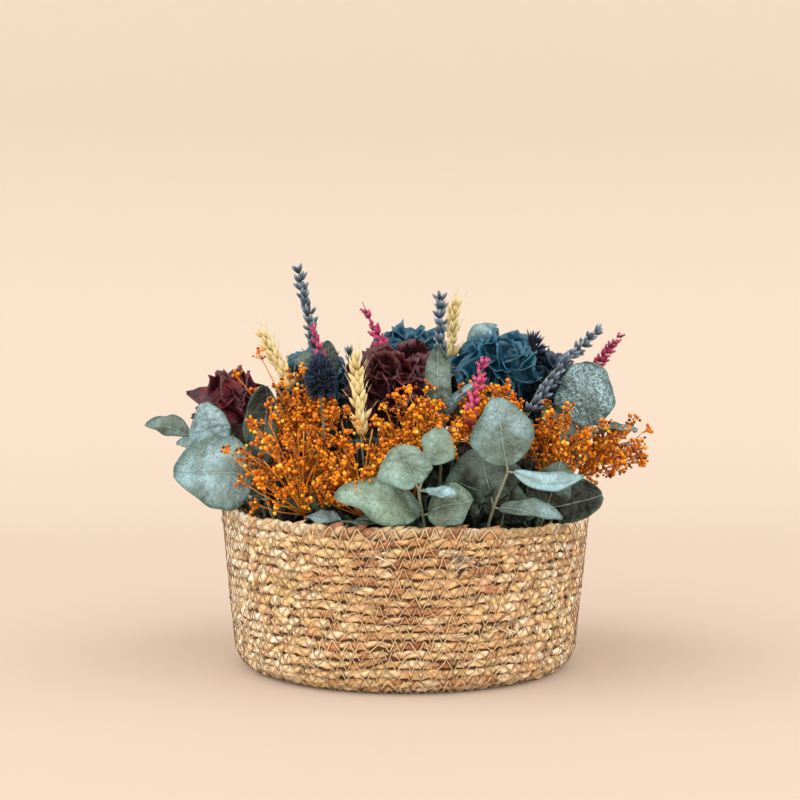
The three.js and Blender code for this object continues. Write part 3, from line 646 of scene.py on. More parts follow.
@dataclass(frozen=True)
class LeafFinish:
    """Preserved eucalyptus leaf with a pale midrib, side veins, dark speckles and painted shade in
    its furrows.
    """

    tones: Stops = stops_of(
        (0.0, 16, 20, 12),
        (0.25, 46, 54, 38),
        (0.5, 100, 118, 106),
        (0.75, 132, 159, 158),
        (1.0, 170, 204, 212),
    )
    vein: Colour = srgb(196, 212, 210)
    # Multiplied into the furrows: partly vein colour, partly painted shade.
    furrow: Colour = (0.26, 0.36, 0.42)
    speckle: Colour = srgb(36, 54, 50)
    stain: Colour = srgb(106, 112, 74)
    margin: Colour = srgb(58, 94, 82)
    warmth: Colour = (1.1, 1.03, 0.74)

    def build(self) -> Material:
        """Make the material.

        Returns:
            The finished material.
        """
        recipe = Recipe("eucalyptus_leaf", 0.5)
        side, along, tone, edge = recipe.traits("across", "along", "tone", "edge")
        olive, amount = recipe.traits("olive", "speckle")
        flat = recipe.vector(side, along, tone * 40.0)
        clouds = recipe.noise(flat, 0.055, 3.0, 0.55).between(0.3, 0.7)
        grain = recipe.noise(flat, 1.2, 3.0)
        wander = (recipe.noise(flat, 0.12, 3.0) - 0.5) * 9.0
        bent = recipe.vector(side + wander, along + wander * 0.6, tone * 40.0)
        across = (side + wander * 0.22).math("ABSOLUTE")
        rib = 1.0 - across.between(0.05, 0.6)
        beside = across.between(0.3, 0.7) * (1.0 - across.between(0.7, 1.6))
        branch = ((along + wander * 0.5 - across * 0.9) / 7.0).math("FRACT")
        branches = (branch - 0.5).math("ABSOLUTE").between(0.4, 0.5)
        large, small = recipe.cells(bent, 0.17), recipe.cells(bent, 0.55)
        fine_net = (1.0 - small.between(0.0, 0.12)) * 0.5
        net = (1.0 - large.between(0.0, 0.1)).math("MAXIMUM", fine_net)
        # Furrows darken the side veins, the net of crinkle valleys and the bands beside the midrib:
        # partly vein colour, partly painted shade in the creases.
        furrows = branches.math("MAXIMUM", net).math("MAXIMUM", beside) * grain.between(0.3, 0.6)
        body = recipe.ramp(tone + (clouds - 0.5) * 0.45 + (grain - 0.5) * 0.1, self.tones)
        stained = recipe.mix(clouds.between(0.75, 1.0) * 0.15, body, self.stain)
        dark_edge = (edge + (clouds - 0.5) * 0.4).between(0.3, 1.1)
        edged = recipe.mix(dark_edge * 0.6, stained, self.margin)
        warmed = recipe.mix(olive, edged, self.warmth, "MULTIPLY")
        furrowed = recipe.mix(furrows * 0.52, warmed, self.furrow, "MULTIPLY")
        threshold = recipe.noise(flat, 0.75, 3.0, 0.7) + amount * 0.15 + (clouds - 0.5) * 0.1
        spotted = recipe.mix(threshold.between(0.62, 0.69) * 0.75, furrowed, self.speckle)
        colour = recipe.mix(rib * grain.between(0.25, 0.75) * 0.75, spotted, self.vein)
        puffs = large.between(0.0, 0.45) + small.between(0.0, 0.4) * 0.3
        relief = puffs * 0.45 + grain * 0.05 + clouds * 2.2 + rib * 0.4
        return recipe.finish(colour, relief, 0.0013, grain * 0.3 + 0.4)


@dataclass(frozen=True)
class StemFinish:
    """A dry stalk, from a pale colour to a darker one."""

    name: str
    first: Colour
    second: Colour

    def build(self) -> Material:
        """Make the material.

        Returns:
            The finished material.
        """
        recipe = Recipe(self.name, 0.7)
        (tone,) = recipe.traits("tone")
        grain = recipe.noise(recipe.place(), 260.0, 3.0)
        colour = recipe.mix(tone * 0.6 + grain * 0.4, self.first, self.second)
        return recipe.finish(colour, grain, 0.0003)


@dataclass(frozen=True)
class GypsophilaFinish:
    """Dyed gypsophila buds, from deep orange to yellow, with a paler tip."""

    tones: Stops = stops_of(
        (0.0, 98, 34, 2),
        (0.3, 184, 80, 2),
        (0.6, 238, 132, 6),
        (0.85, 252, 178, 34),
        (1.0, 250, 212, 90),
    )
    tip: Colour = srgb(250, 176, 56)

    def build(self) -> Material:
        """Make the material.

        Returns:
            The finished material.
        """
        recipe = Recipe("gypsophila_bud", 0.7, 0.2)
        tone, rise = recipe.traits("tone", "along")
        ribs = recipe.noise(recipe.place(), 1100.0, 1.0)
        body = recipe.ramp(tone + (ribs - 0.5) * 0.3, self.tones)
        colour = recipe.mix(rise.between(0.5, 1.0) * 0.35, body, self.tip)
        return recipe.finish(colour, ribs, 0.0003)


@dataclass(frozen=True)
class SepalFinish:
    """A dried hydrangea sepal: dyed, creased along its veins, with a lighter curled edge."""

    name: str
    deep: Colour
    body: Colour
    light: Colour
    edge: Colour

    def build(self) -> Material:
        """Make the material.

        Returns:
            The finished material.
        """
        recipe = Recipe(self.name, 0.4)
        across, along, tone, edge = recipe.traits("across", "along", "tone", "edge")
        fan = across / (along * 0.5 + 2.0)
        creases = recipe.noise(recipe.vector(fan * 3.2, along * 0.06, tone * 50.0), 2.2, 3.0)
        flat = recipe.vector(across, along, tone * 50.0)
        clouds = recipe.noise(flat, 0.12, 3.0).between(0.3, 0.7)
        dyes = ((0.0, self.deep), (0.5, self.body), (1.0, self.light))
        body = recipe.ramp(tone * 0.55 + clouds * 0.55 - 0.2, dyes)
        veined = recipe.mix(creases.between(0.5, 0.75) * 0.4, body, self.light)
        colour = recipe.mix(edge.between(0.78, 1.0) * 0.55, veined, self.edge)
        return recipe.finish(colour, creases * 0.5 + clouds, 0.0008, creases * 0.25 + 0.3)


@dataclass(frozen=True)
class FloretFinish:
    """Small dry florets: a dark root, a body colour and a pale tip, with painted shade at the root
    and a painted highlight at the tip over their own colours.
    """

    name: str
    root: Colour
    body: Colour
    tip: Colour

    def build(self) -> Material:
        """Make the material.

        Returns:
            The finished material.
        """
        recipe = Recipe(self.name, 0.8)
        tone, rise = recipe.traits("tone", "along")
        fuzz = recipe.noise(recipe.place(), 1400.0, 2.0)
        # Root to tip: the floret's own colours with painted shade at the root and a painted
        # highlight at the tip.
        colours_with_light = ((0.0, self.root), (0.45, self.body), (1.0, self.tip))
        colour = recipe.ramp(rise * 0.6 + tone * 0.35 + (fuzz - 0.5) * 0.35, colours_with_light)
        return recipe.finish(colour, fuzz, 0.0004)


@dataclass(frozen=True)
class BackdropFinish:
    """Plain pale paper of the studio floor."""

    floor: Colour = (0.555, 0.450, 0.366)
    wall: Colour = (0.555, 0.468, 0.383)
    fleck: Colour = (0.4, 0.3, 0.25)

    def build(self) -> Material:
        """Make the material.

        Returns:
            The finished material.
        """
        recipe = Recipe("studio_paper", 0.9)
        grain = recipe.noise(recipe.place(), 30.0, 2.0)
        paper = recipe.mix(*recipe.traits("rise"), self.floor, self.wall)
        return recipe.finish(recipe.mix(grain * 0.02, paper, self.fleck))


class Hue(Enum):
    """The dye of a hydrangea head, by the name of its slot and finish."""

    BURGUNDY = "burgundy_petal"
    TEAL = "teal_petal"
    NAVY = "navy_petal"


class Kind(Enum):
    """The kinds of spike, by the name of their slot and finish."""

    LAVENDER = "lavender"
    PINK = "pink_floret"
    WHEAT = "wheat"


def dyed(
    kind: type[SepalFinish] | type[FloretFinish], name: str, *colours: tuple[int, int, int]
) -> SepalFinish | FloretFinish:
    """Set up a finish with its colours as a screen shows them.

    Args:
        kind: The class of the finish.
        name: The material's name.
        *colours: Red, green and blue, in the order of the finish.

    Returns:
        The finish.
    """
    return kind(name, *(srgb(*colour) for colour in colours))


BURGUNDY = (18, 3, 6), (54, 11, 19), (150, 54, 66), (112, 52, 58)
TEAL = (4, 26, 42), (16, 84, 112), (66, 148, 176), (50, 112, 134)
NAVY = (6, 14, 26), (16, 44, 66), (46, 96, 124), (54, 84, 104)
FINISHES = {
    "seagrass": SeagrassFinish(),
    "thread": ThreadFinish(),
    "foam": FoamFinish(),
    "leaf": LeafFinish(),
    "green_stem": StemFinish("leafy_stalk", srgb(148, 154, 126), srgb(92, 88, 66)),
    "orange_stem": StemFinish("dyed_stalk", srgb(236, 156, 38), srgb(150, 76, 12)),
    "bud": GypsophilaFinish(),
    "burgundy_petal": dyed(SepalFinish, "burgundy_sepal", *BURGUNDY),
    "teal_petal": dyed(SepalFinish, "teal_sepal", *TEAL),
    "navy_petal": dyed(SepalFinish, "navy_sepal", *NAVY),
    "lavender": dyed(
        FloretFinish, "lavender_calyx", (12, 16, 22), (58, 74, 88), (156, 170, 184)
    ),
    "pink_floret": dyed(
        FloretFinish, "pink_floret", (112, 30, 58), (190, 56, 106), (222, 120, 156)
    ),
    "wheat": dyed(FloretFinish, "wheat_husk", (146, 118, 64), (208, 186, 124), (240, 226, 180)),
    "thistle": dyed(FloretFinish, "thistle_point", (3, 8, 18), (8, 23, 46), (44, 72, 108)),
}


@cache
def material_of(name: str) -> Material:
    """Make the material of one of the FINISHES, once for all its pieces."""
    return FINISHES[name].build()


# The basket


STRIP = pod(6, [0.0, 0.34, 0.5, 0.5, 0.32, 0.0])


@dataclass(frozen=True)
class Laying:
    """How the strips of a course lie: their spacing, depth, tilt, size and painted shade."""

    gap: float
    depth: float
    tilt: float
    size: float = 1.0
    # Painted shade, from none to full.
    deep: float = 0.0


@dataclass
class Basket:
    """Twisted seagrass rope coiled up from a round base and stitched with thread."""

    height: float = 100.0
    rim_radius: float = 120.0
    foot_radius: float = 110.5
    corner_radius: float = 14.0
    rim_lean: float = 3.0
    courses: int = 19
    outline_steps: int = 400
    rope_radius: float = 2.9
    strands: int = 3
    twist_length: float = 25.0
    base_step: float = 6.0
    ring_gap: float = 1.85
    strand_sides: int = 5
    stitches: int = 86
    thread_radius: float = 0.36
    thread_reach: float = 0.72
    thread_steps: int = 20000
    thread_tones: int = 4000
    stitch_points: int = 8
    # The under layer, the inside courses and the rim are darkened with painted shade.
    under: Laying = Laying(9.5, 0.0, 0.08, deep=0.75)
    outside: Laying = Laying(6.6, 1.4, 0.1)
    inside: Laying = Laying(9.0, -1.1, 0.1, deep=0.5)
    rim: tuple[Laying, ...] = (Laying(6.0, 0.2, 0.3, 1.3, 0.6), Laying(6.0, 1.1, 0.34, 1.3, 0.48))
    inside_courses: int = 4
    strip_length: tuple[float, float] = (9.0, 23.0)
    strip_height: tuple[float, float] = (3.0, 5.4)
    strip_thickness: tuple[float, float] = (2.2, 3.4)
    loose_ends: int = 60
    loose_heights: tuple[float, float] = (12.0, 94.0)
    tufts: tuple[tuple[int, float, float], ...] = (
        (11, -1.29, 83.0),
        (6, -1.07, 42.0),
        (6, 2.2, 66.0),
    )
    lining_sides: int = 96
    rng: np.random.Generator = field(default_factory=lambda: np.random.default_rng(11))

    def wall_radius(self, z: float) -> float:
        """Work out how far the wall stands out.

        Args:
            z: The height.

        Returns:
            The wall's outside radius there.
        """
        slope = self.foot_radius + (self.rim_radius - self.foot_radius) * z / self.height
        low = max(0.0, (self.corner_radius - z) / self.corner_radius)
        return slope - self.corner_radius * (1.0 - math.sqrt(max(0.0, 1.0 - low * low)))

    def course_middles(self) -> tuple[Array, Array]:
        """Place the courses evenly along the wall's own curve.

        Returns:
            Each course's radius and height, and the way out of the wall there.
        """
        heights = np.linspace(0.0, self.height, self.outline_steps)
        outline = np.array([[self.wall_radius(z), z] for z in heights])
        way = unit(np.gradient(outline, axis=0))
        out = np.stack([way[:, 1], -way[:, 0]], axis=-1)
        inset = outline - out * self.rope_radius
        high, low = self.height - self.rope_radius * 0.8, self.rope_radius * 0.9
        keep = (inset[:, 1] > low) & (inset[:, 1] < high)
        inset, out = inset[keep], out[keep]
        reach = np.concatenate([[0], np.cumsum(np.linalg.norm(np.diff(inset, axis=0), axis=1))])
        even = np.linspace(0.0, reach[-1], self.courses)
        rows = [np.interp(even, reach, line) for line in (*inset.T, *out.T)]
        return np.stack(rows[:2], axis=-1), unit(np.stack(rows[2:], axis=-1))

    def lean(self, points: Array) -> Array:
        """Raise the left of the rim, lower its right, and let the courses sway a little.

        Args:
            points: Points of the basket.

        Returns:
            The points moved.
        """
        z = points[..., 2]
        high = np.clip(z / self.height - 0.4, 0.0, None) / 0.6
        theta = np.arctan2(points[..., 1], points[..., 0])
        sway = 0.9 * np.sin(4 * theta + z / 14) + 0.6 * np.sin(9 * theta - z / 9)
        moved = points.copy()
        moved[..., 2] += sway * np.clip(z / 15, 0.0, 1.0)
        moved[..., 2] -= self.rim_lean * high * points[..., 0] / self.rim_radius
        moved[..., 2] = np.maximum(moved[..., 2], 0.0)
        return moved

    def stitch_number(self, theta: Array, course: int) -> Array:
        """Number the places round a course in stitches, a little unevenly.

        Args:
            theta: The places, in radians.
            course: The course, from 0 at the bottom.

        Returns:
            Whole numbers where the thread comes up from the course below.
        """
        uneven = 0.3 * np.sin(9 * theta + 2.1 * course) + 0.16 * np.sin(31 * theta + 5.3 * course)
        return theta * self.stitches / TAU + 0.5 * (course % 2) + uneven

    def slow_noise(self, theta: Array, waves: int) -> Array:
        """Add up sines of chance phase into a noise that closes on itself.

        Args:
            theta: The places round the basket, in radians.
            waves: The number of swings round the basket, about.

        Returns:
            The noise, mostly between -1 and 1.
        """
        total = np.zeros_like(theta)
        for share in (0.37, 0.61, 1.0, 1.43):
            phase = self.rng.uniform(0.0, TAU)
            total += np.sin(max(1, round(waves * share)) * theta + phase)
        return total / 2.2

    def add_ring(self, shape: Shape, radius: float) -> None:
        """Lay one flat ring of twisted rope on the floor.

        Args:
            shape: Where it goes.
            radius: The ring's radius.
        """
        rope = z = self.rope_radius
        around = TAU * radius
        turns = max(3, round(around / (self.twist_length * self.rng.uniform(0.85, 1.25))))
        steps = int(around / self.base_step)
        theta = np.linspace(0.0, TAU, steps + 1)
        start = self.rng.uniform(0.0, TAU)
        wobble = 0.3 * np.sin(5 * theta + start) + 0.2 * np.sin(13 * theta + 2 * start)
        radial = polar(1.0, theta, 0.0)
        middle = radial * radius + UP * (z + 0.5 * wobble)[:, None]
        psi = np.arange(self.strand_sides) * TAU / self.strand_sides
        for j in range(self.strands):
            drift = self.slow_noise(theta, 26) * 1.1
            phi = turns * theta + start + TAU * j / self.strands + drift
            out = radial * np.cos(phi)[:, None] + UP * np.sin(phi)[:, None]
            side = -radial * np.sin(phi)[:, None] + UP * np.cos(phi)[:, None]
            fat = 1.0 + 0.3 * self.slow_noise(theta, 90)
            rings = out[:, None] * np.cos(psi)[None, :, None] * rope * 0.5
            rings = rings + side[:, None] * np.sin(psi)[None, :, None] * rope * 0.72
            points = (middle + out * rope * 0.5)[:, None] + rings * fat[:, None, None]
            along = theta * radius
            length = self.rng.uniform(14.0, 34.0)
            table = self.rng.beta(1.6, 1.6, int(around / length) + 3)
            strip = np.floor(along / length + self.rng.uniform()).astype(int)
            # Random tone per strip, lighter towards both sides of the basket: painted light.
            tone = table[strip] + 0.3 * np.abs(np.cos(theta)) ** 3
            # Strand faces turned in towards the rope's middle get painted shade.
            inward = np.linalg.norm(points - middle[:, None], axis=-1) / rope
            shape.add(
                self.lean(points),
                ring_faces(steps + 1, self.strand_sides),
                along=np.repeat(along, self.strand_sides),
                around=np.tile(psi, steps + 1),
                tone=np.repeat(tone, self.strand_sides),
                deep=np.clip(0.5 - 0.9 * inward, 0.0, 1.0),
                rise=np.clip(0.5 + (points[..., 2] - z) / (2 * rope), 0.0, 1.0),
                stitch=np.repeat(self.stitch_number(theta, 0), self.strand_sides),
            )

    def add_strips(self, shape: Shape, course: int, middle: Point, laying: Laying) -> None:
        """Lay strips of leaf along one course, each over the end of the last, as in loose rope.

        Args:
            shape: Where they go.
            course: Its number, from 0 at the bottom.
            middle: The radius and the height of its middle.
            laying: How the strips lie.
        """
        radius, z = middle
        count = int(TAU * radius / laying.gap)
        rng = self.rng

        def column(values: Array) -> Array:
            """Give each strip's number to all its points."""
            return values[:, None]

        theta = (np.arange(count) + rng.uniform(-0.4, 0.4, count)) * TAU / count
        aside = column(np.cos(theta)) ** 2
        length = column(rng.uniform(*self.strip_length, count)) * (1.0 - 0.45 * aside)
        tall = column(rng.uniform(*self.strip_height, count)) * (laying.size + 0.35 * aside)
        thick = column(rng.uniform(*self.strip_thickness, count)) * (laying.size + 0.2 * aside)
        tilt = column(rng.normal(laying.tilt, 0.13, count))
        x, y, v = STRIP[0].T[:, None]
        far = (v - 0.5) * length
        rise = x * tall + column(rng.normal(0.0, 2.2, count)) * (far / length) ** 2
        along = far * np.cos(tilt) - rise * np.sin(tilt)
        up = far * np.sin(tilt) + rise * np.cos(tilt) + column(rng.normal(0.0, 0.55, count))
        out = radius + laying.depth + y * thick
        out = out + column(rng.normal(0.0, 0.3, count))
        angle = theta[:, None] + along / radius
        # Random tone, lighter towards the sides and most on the left, where the light falls:
        # painted light.
        tone = column(rng.beta(1.0, 1.0, count)) * (0.82 - 0.4 * aside)
        tone = tone + (0.74 - 0.1 * column(np.cos(theta))) * aside
        faces = STRIP[1][None] + (np.arange(count) * v.size)[:, None, None]
        every = np.ones_like(far)
        shape.add(
            self.lean(polar(out, angle, z + up)),
            faces.reshape(-1, 3),
            along=far,
            around=np.arctan2(y, x) * every,
            tone=tone * every,
            # Painted shade from the laying, weaker towards the sides, and a share of painted light
            # for the sides.
            deep=laying.deep * (1.0 - 0.9 * aside) * every,
            fair=np.minimum(1.0, 1.4 * aside) * every,
            rise=np.clip(0.5 + up / self.strip_height[1], 0.0, 1.0),
            stitch=self.stitch_number(angle, course),
        )

    def build_wall(self) -> None:
        """Coil the wall."""
        shape = Shape()
        middles, _ = self.course_middles()
        top = len(middles) - 1
        for course, middle in enumerate(middles[:-1]):
            self.add_strips(shape, course, middle, self.under)
            self.add_strips(shape, course, middle, self.outside)
        for course in range(len(middles) - self.inside_courses, len(middles)):
            self.add_strips(shape, course, middles[course], self.inside)
        for laying in self.rim:
            self.add_strips(shape, top, middles[top] + [0.0, 0.5], laying)
        # A dark lining all in painted shade fills the gaps between the courses.
        theta = np.arange(self.lining_sides) * TAU / self.lining_sides
        lining = polar(middles[:, :1], theta, middles[:, 1:])
        shape.add(self.lean(lining), ring_faces(*lining.shape[:2]), tone=0.2, deep=1.0)
        self.add_loose_ends(shape)
        shape.build("basket_rope_wall", "seagrass", "basket", "seagrass")

    def add_loose_ends(self, shape: Shape) -> None:
        """Let a few ends of leaf curl out between the courses, as on the real basket.

        Args:
            shape: Where they go.
        """
        rng = self.rng
        places = [
            (rng.uniform(0.0, TAU), rng.uniform(*self.loose_heights))
            for _ in range(self.loose_ends)
        ]
        for count, middle, height in self.tufts:
            places += count * [(middle, height)]
        for middle, height in places:
            theta = middle + rng.normal(0.0, 0.03)
            z = height + rng.normal(0.0, 2.5)
            radius = self.wall_radius(z) + 0.2
            length = rng.uniform(5.0, 14.0) * rng.choice([-1.0, 1.0])
            t = np.linspace(0.0, 1.0, 6)
            angle = theta + t * length / radius
            lift = radius + rng.uniform(0.6, 2.4) * np.sin(2.2 * t)
            droop = z + rng.uniform(-7.0, 7.0) * t + rng.uniform(-3.0, 3.0) * t**2
            points, faces = tube(polar(lift, angle, droop), 0.5 * (1.1 - t), 4)
            shape.add(self.lean(points), faces, tone=rng.uniform(0.7, 1.0))

    def build_base(self) -> None:
        """Coil the flat base."""
        shape = Shape()
        outer = self.wall_radius(0.0) - self.rope_radius * 0.6
        for radius in np.arange(outer, self.rope_radius, -self.rope_radius * self.ring_gap):
            self.add_ring(shape, radius)
        shape.build("basket_rope_base", "seagrass", "basket", "seagrass")

    def build_stitching(self) -> None:
        """Sew each course to the next with a zigzag of thread."""
        shape = Shape()
        middles, ways = self.course_middles()
        ends = np.vstack([2 * middles[0] - middles[1], middles, 2 * middles[-1] - middles[-2]])
        theta = np.linspace(0.0, TAU, self.thread_steps)
        for k, (middle, way) in enumerate(zip(middles, ways)):
            face = way * self.rope_radius * 0.92
            below = middle + (ends[k] - middle) * self.thread_reach + face
            above = middle + (ends[k + 2] - middle) * self.thread_reach + face
            crest = middle + way * (self.rope_radius * 1.04 + self.thread_radius)
            number = self.stitch_number(theta, k)
            places = np.arange(number[0], number[-1], 1 / self.stitch_points)
            angle = np.interp(places, number, theta)
            t = (1.0 - np.abs(2.0 * (places % 1.0) - 1.0))[:, None]
            bow = below * (1 - t) * (1 - 2 * t) + 4 * crest * t * (1 - t) + above * t * (2 * t - 1)
            aside = np.clip(np.abs(np.cos(angle)) - 0.4, 0.0, 1.0)
            thick = self.thread_radius * (1.0 - 0.7 * aside)
            points, faces = tube(polar(bow[:, 0], angle, bow[:, 1]), thick, 3)
            chance = self.rng.uniform(0.0, 1.0, self.thread_tones)
            # Thread tone: darker towards the sides of the basket as painted shade, and different at
            # random.
            tone = 1.2 * aside + 0.4 * chance[(places * 2).astype(int) % len(chance)]
            tone = np.repeat(np.concatenate([tone[:1], tone, tone[-1:]]), 3)
            shape.add(self.lean(points), faces, tone=tone)
        shape.build("basket_stitching", "seagrass", None, "thread")

    def build(self) -> None:
        """Make the basket's pieces."""
        self.build_wall()
        self.build_base()
        self.build_stitching()


class Foam:
    """The CAD model's block of dry foam, which holds the stems."""

    def build(self) -> None:
        """Give the block its material."""
        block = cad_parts["foam_block"]
        block.data.materials.clear()
        block.data.materials.append(material_of("foam"))


# Foliage


@dataclass(frozen=True)
class Leaf:
    """One eucalyptus leaf: the joint it grows from, its tip, the way it looks and its width."""

    joint: int
    tip: Point
    face: Point
    width: float
    cup: float = 0.08
    arch: float = 0.06
    wave: float = 0.03
    tone: float = 0.75
    point: float = 0.0
    speckle: float = 0.08
    olive: float = 0.0

    def grow(
        self, shape: Shape, joint: Array, rng: Chance, rows: int = 26, sides: int = 13
    ) -> None:
        """Grow the leaf on its stalk.

        Args:
            shape: Where it goes.
            joint: Where its stalk starts.
            rng: The sprig's chance.
            rows: Its number of points along.
            sides: Its number of points across.
        """
        tip = vec(self.tip)
        side, out, along = frames((tip - joint)[None], vec(self.face)[None])[0].T
        length = float(np.linalg.norm(tip - joint)) - STALK_LENGTH
        v = 0.5 - 0.5 * np.cos(np.linspace(0.0, math.pi, rows))[:, None]
        u = np.linspace(-1.0, 1.0, sides)[None]
        phase = rng.uniform(0.0, 6.0, 3)
        outline = np.sin(math.pi * (0.012 + 0.976 * v**0.94)) ** LEAF_ROUNDNESS
        outline = outline * (1.0 + self.point * (0.42 - v))
        frill = 1.0 + 0.05 * np.sin(9 * v + phase[0]) + 0.018 * np.sin(23 * v + phase[1])
        lopsided = 0.09 * np.sin(4 * v + phase[2]) + 0.05 * np.sin(9 * v)
        half = self.width / 2 * outline * frill
        across = u * half * (1.0 + np.sign(u) * lopsided)
        ripple = self.cup * np.abs(u) ** 1.4 + self.wave * u * np.sin(7 * v + self.width)
        frills = 0.04 * np.abs(u) ** 3 * np.sin(15 * v + phase[2] + 1.7 * np.sign(u))
        frills = frills + 0.07 * np.sin(4.5 * v + 2.2 * u + phase[0])
        crease = -0.02 * np.exp(-((u * 5) ** 2))
        rise = self.width * (ripple + frills + crease) * np.sqrt(outline)
        bow = length * (self.arch * 4 * v * (1 - v))
        grid = joint + along * (STALK_LENGTH + length * v)[..., None]
        grid = grid + side * across[..., None] + out * (rise + bow)[..., None]
        edge = np.maximum(np.abs(u) ** 2, (2 * v - 1) ** 6)
        looks = {"across": across, "along": length * v, "edge": edge}
        looks |= {"speckle": self.speckle, "olive": self.olive}
        looks["tone"] = min(1.0, self.tone + rng.uniform(-0.04, 0.04))
        shape.add_sheet(grid, LEAF_THICKNESS, **looks)
        stalk = np.linspace(joint, joint + along * (STALK_LENGTH + 3.0), 4)
        shape.add_tube(stalk, [0.8, 0.7, 0.6, 0.3], 6, slot=1, tone=0.3)


@dataclass
class Plant:
    """A plant that stands in the foam and replaces the CAD node of its name."""

    name: str
    foot: Point
    seed: int

    def __post_init__(self) -> None:
        """Start the plant's own chance and its mesh."""
        self.rng = np.random.default_rng(self.seed)
        self.shape = Shape()

    def line(self, path: Array, thick: float, thin: float, tone: float, sides: int) -> None:
        """Add a stem, branch or twig that narrows towards its end.

        Args:
            path: The points of its middle.
            thick: Its radius where it starts.
            thin: Its radius where it ends.
            tone: Its tone.
            sides: Its number of sides.
        """
        radius = np.linspace(thick, thin, len(path))
        self.shape.add_tube(path, radius, sides, slot=1, tone=tone)

    def bent_stem(self, neck: Point, tip: Point) -> Array:
        """Curve a stem from its hole to a head, which it meets in the head's own direction.

        Args:
            neck: Where the head starts.
            tip: Where the head ends.

        Returns:
            The points of its middle, up to the neck.
        """
        mouth, end = vec([*self.foot, STEM_MOUTH]), vec(neck)
        heading = unit(vec(tip) - end)
        third = np.linalg.norm(end - mouth) / 3
        t = np.linspace(0.0, 1.0, 14)[:, None]
        leave, arrive = mouth + UP * third, end - heading * third
        bend = mouth * (1 - t) ** 3 + 3 * leave * t * (1 - t) ** 2
        bend = bend + 3 * arrive * t**2 * (1 - t) + end * t**3
        return np.vstack([[*self.foot, STEM_BOTTOM], bend])


@dataclass
class Sprig(Plant):
    """A leafy stem, whose joints and leaves are those of its CAD node."""

    joints: Sequence[Point]
    leaves: Sequence[Leaf]
    thick: float = 1.3
    thin: float = 0.8

    def build(self) -> None:
        """Make the sprig."""
        base = [[*self.foot, STEM_BOTTOM], [*self.foot, STEM_MOUTH]]
        self.line(smooth_line([*base, *self.joints], 7), self.thick, self.thin, 0.4, 8)
        for joint in self.joints:
            ring = vec(joint) + np.outer([-0.8, 0.0, 0.8], UP)
            self.shape.add_tube(ring, [1.0, 1.5, 1.0], 8, slot=1, tone=0.7)
        for leaf in self.leaves:
            leaf.grow(self.shape, vec(self.joints[leaf.joint]), self.rng)
        self.shape.build(f"{self.name}_sprig", "eucalyptus", self.name, "leaf", "green_stem")


# Flowers


BUD = pod(5, [0.0, 0.52, 0.5, 0.0])
SHOOT = pod(3, [0.0, 1.0, 0.0])
FLORET = pod(5, [0.0, 0.36, 0.5, 0.5, 0.38, 0.0])
HUSK = pod(5, [0.0, 0.34, 0.54, 0.5, 0.4, 0.22, 0.0])
POINT = pod(4, [0.0, 0.5, 0.46, 0.22, 0.0])
SPINE = pod(3, [0.0, 0.5, 0.3, 0.0])
CORE = pod(12, np.interp(np.linspace(0, 1, 8), np.linspace(0, 1, 5), [0, 0.4, 0.5, 0.4, 0]))


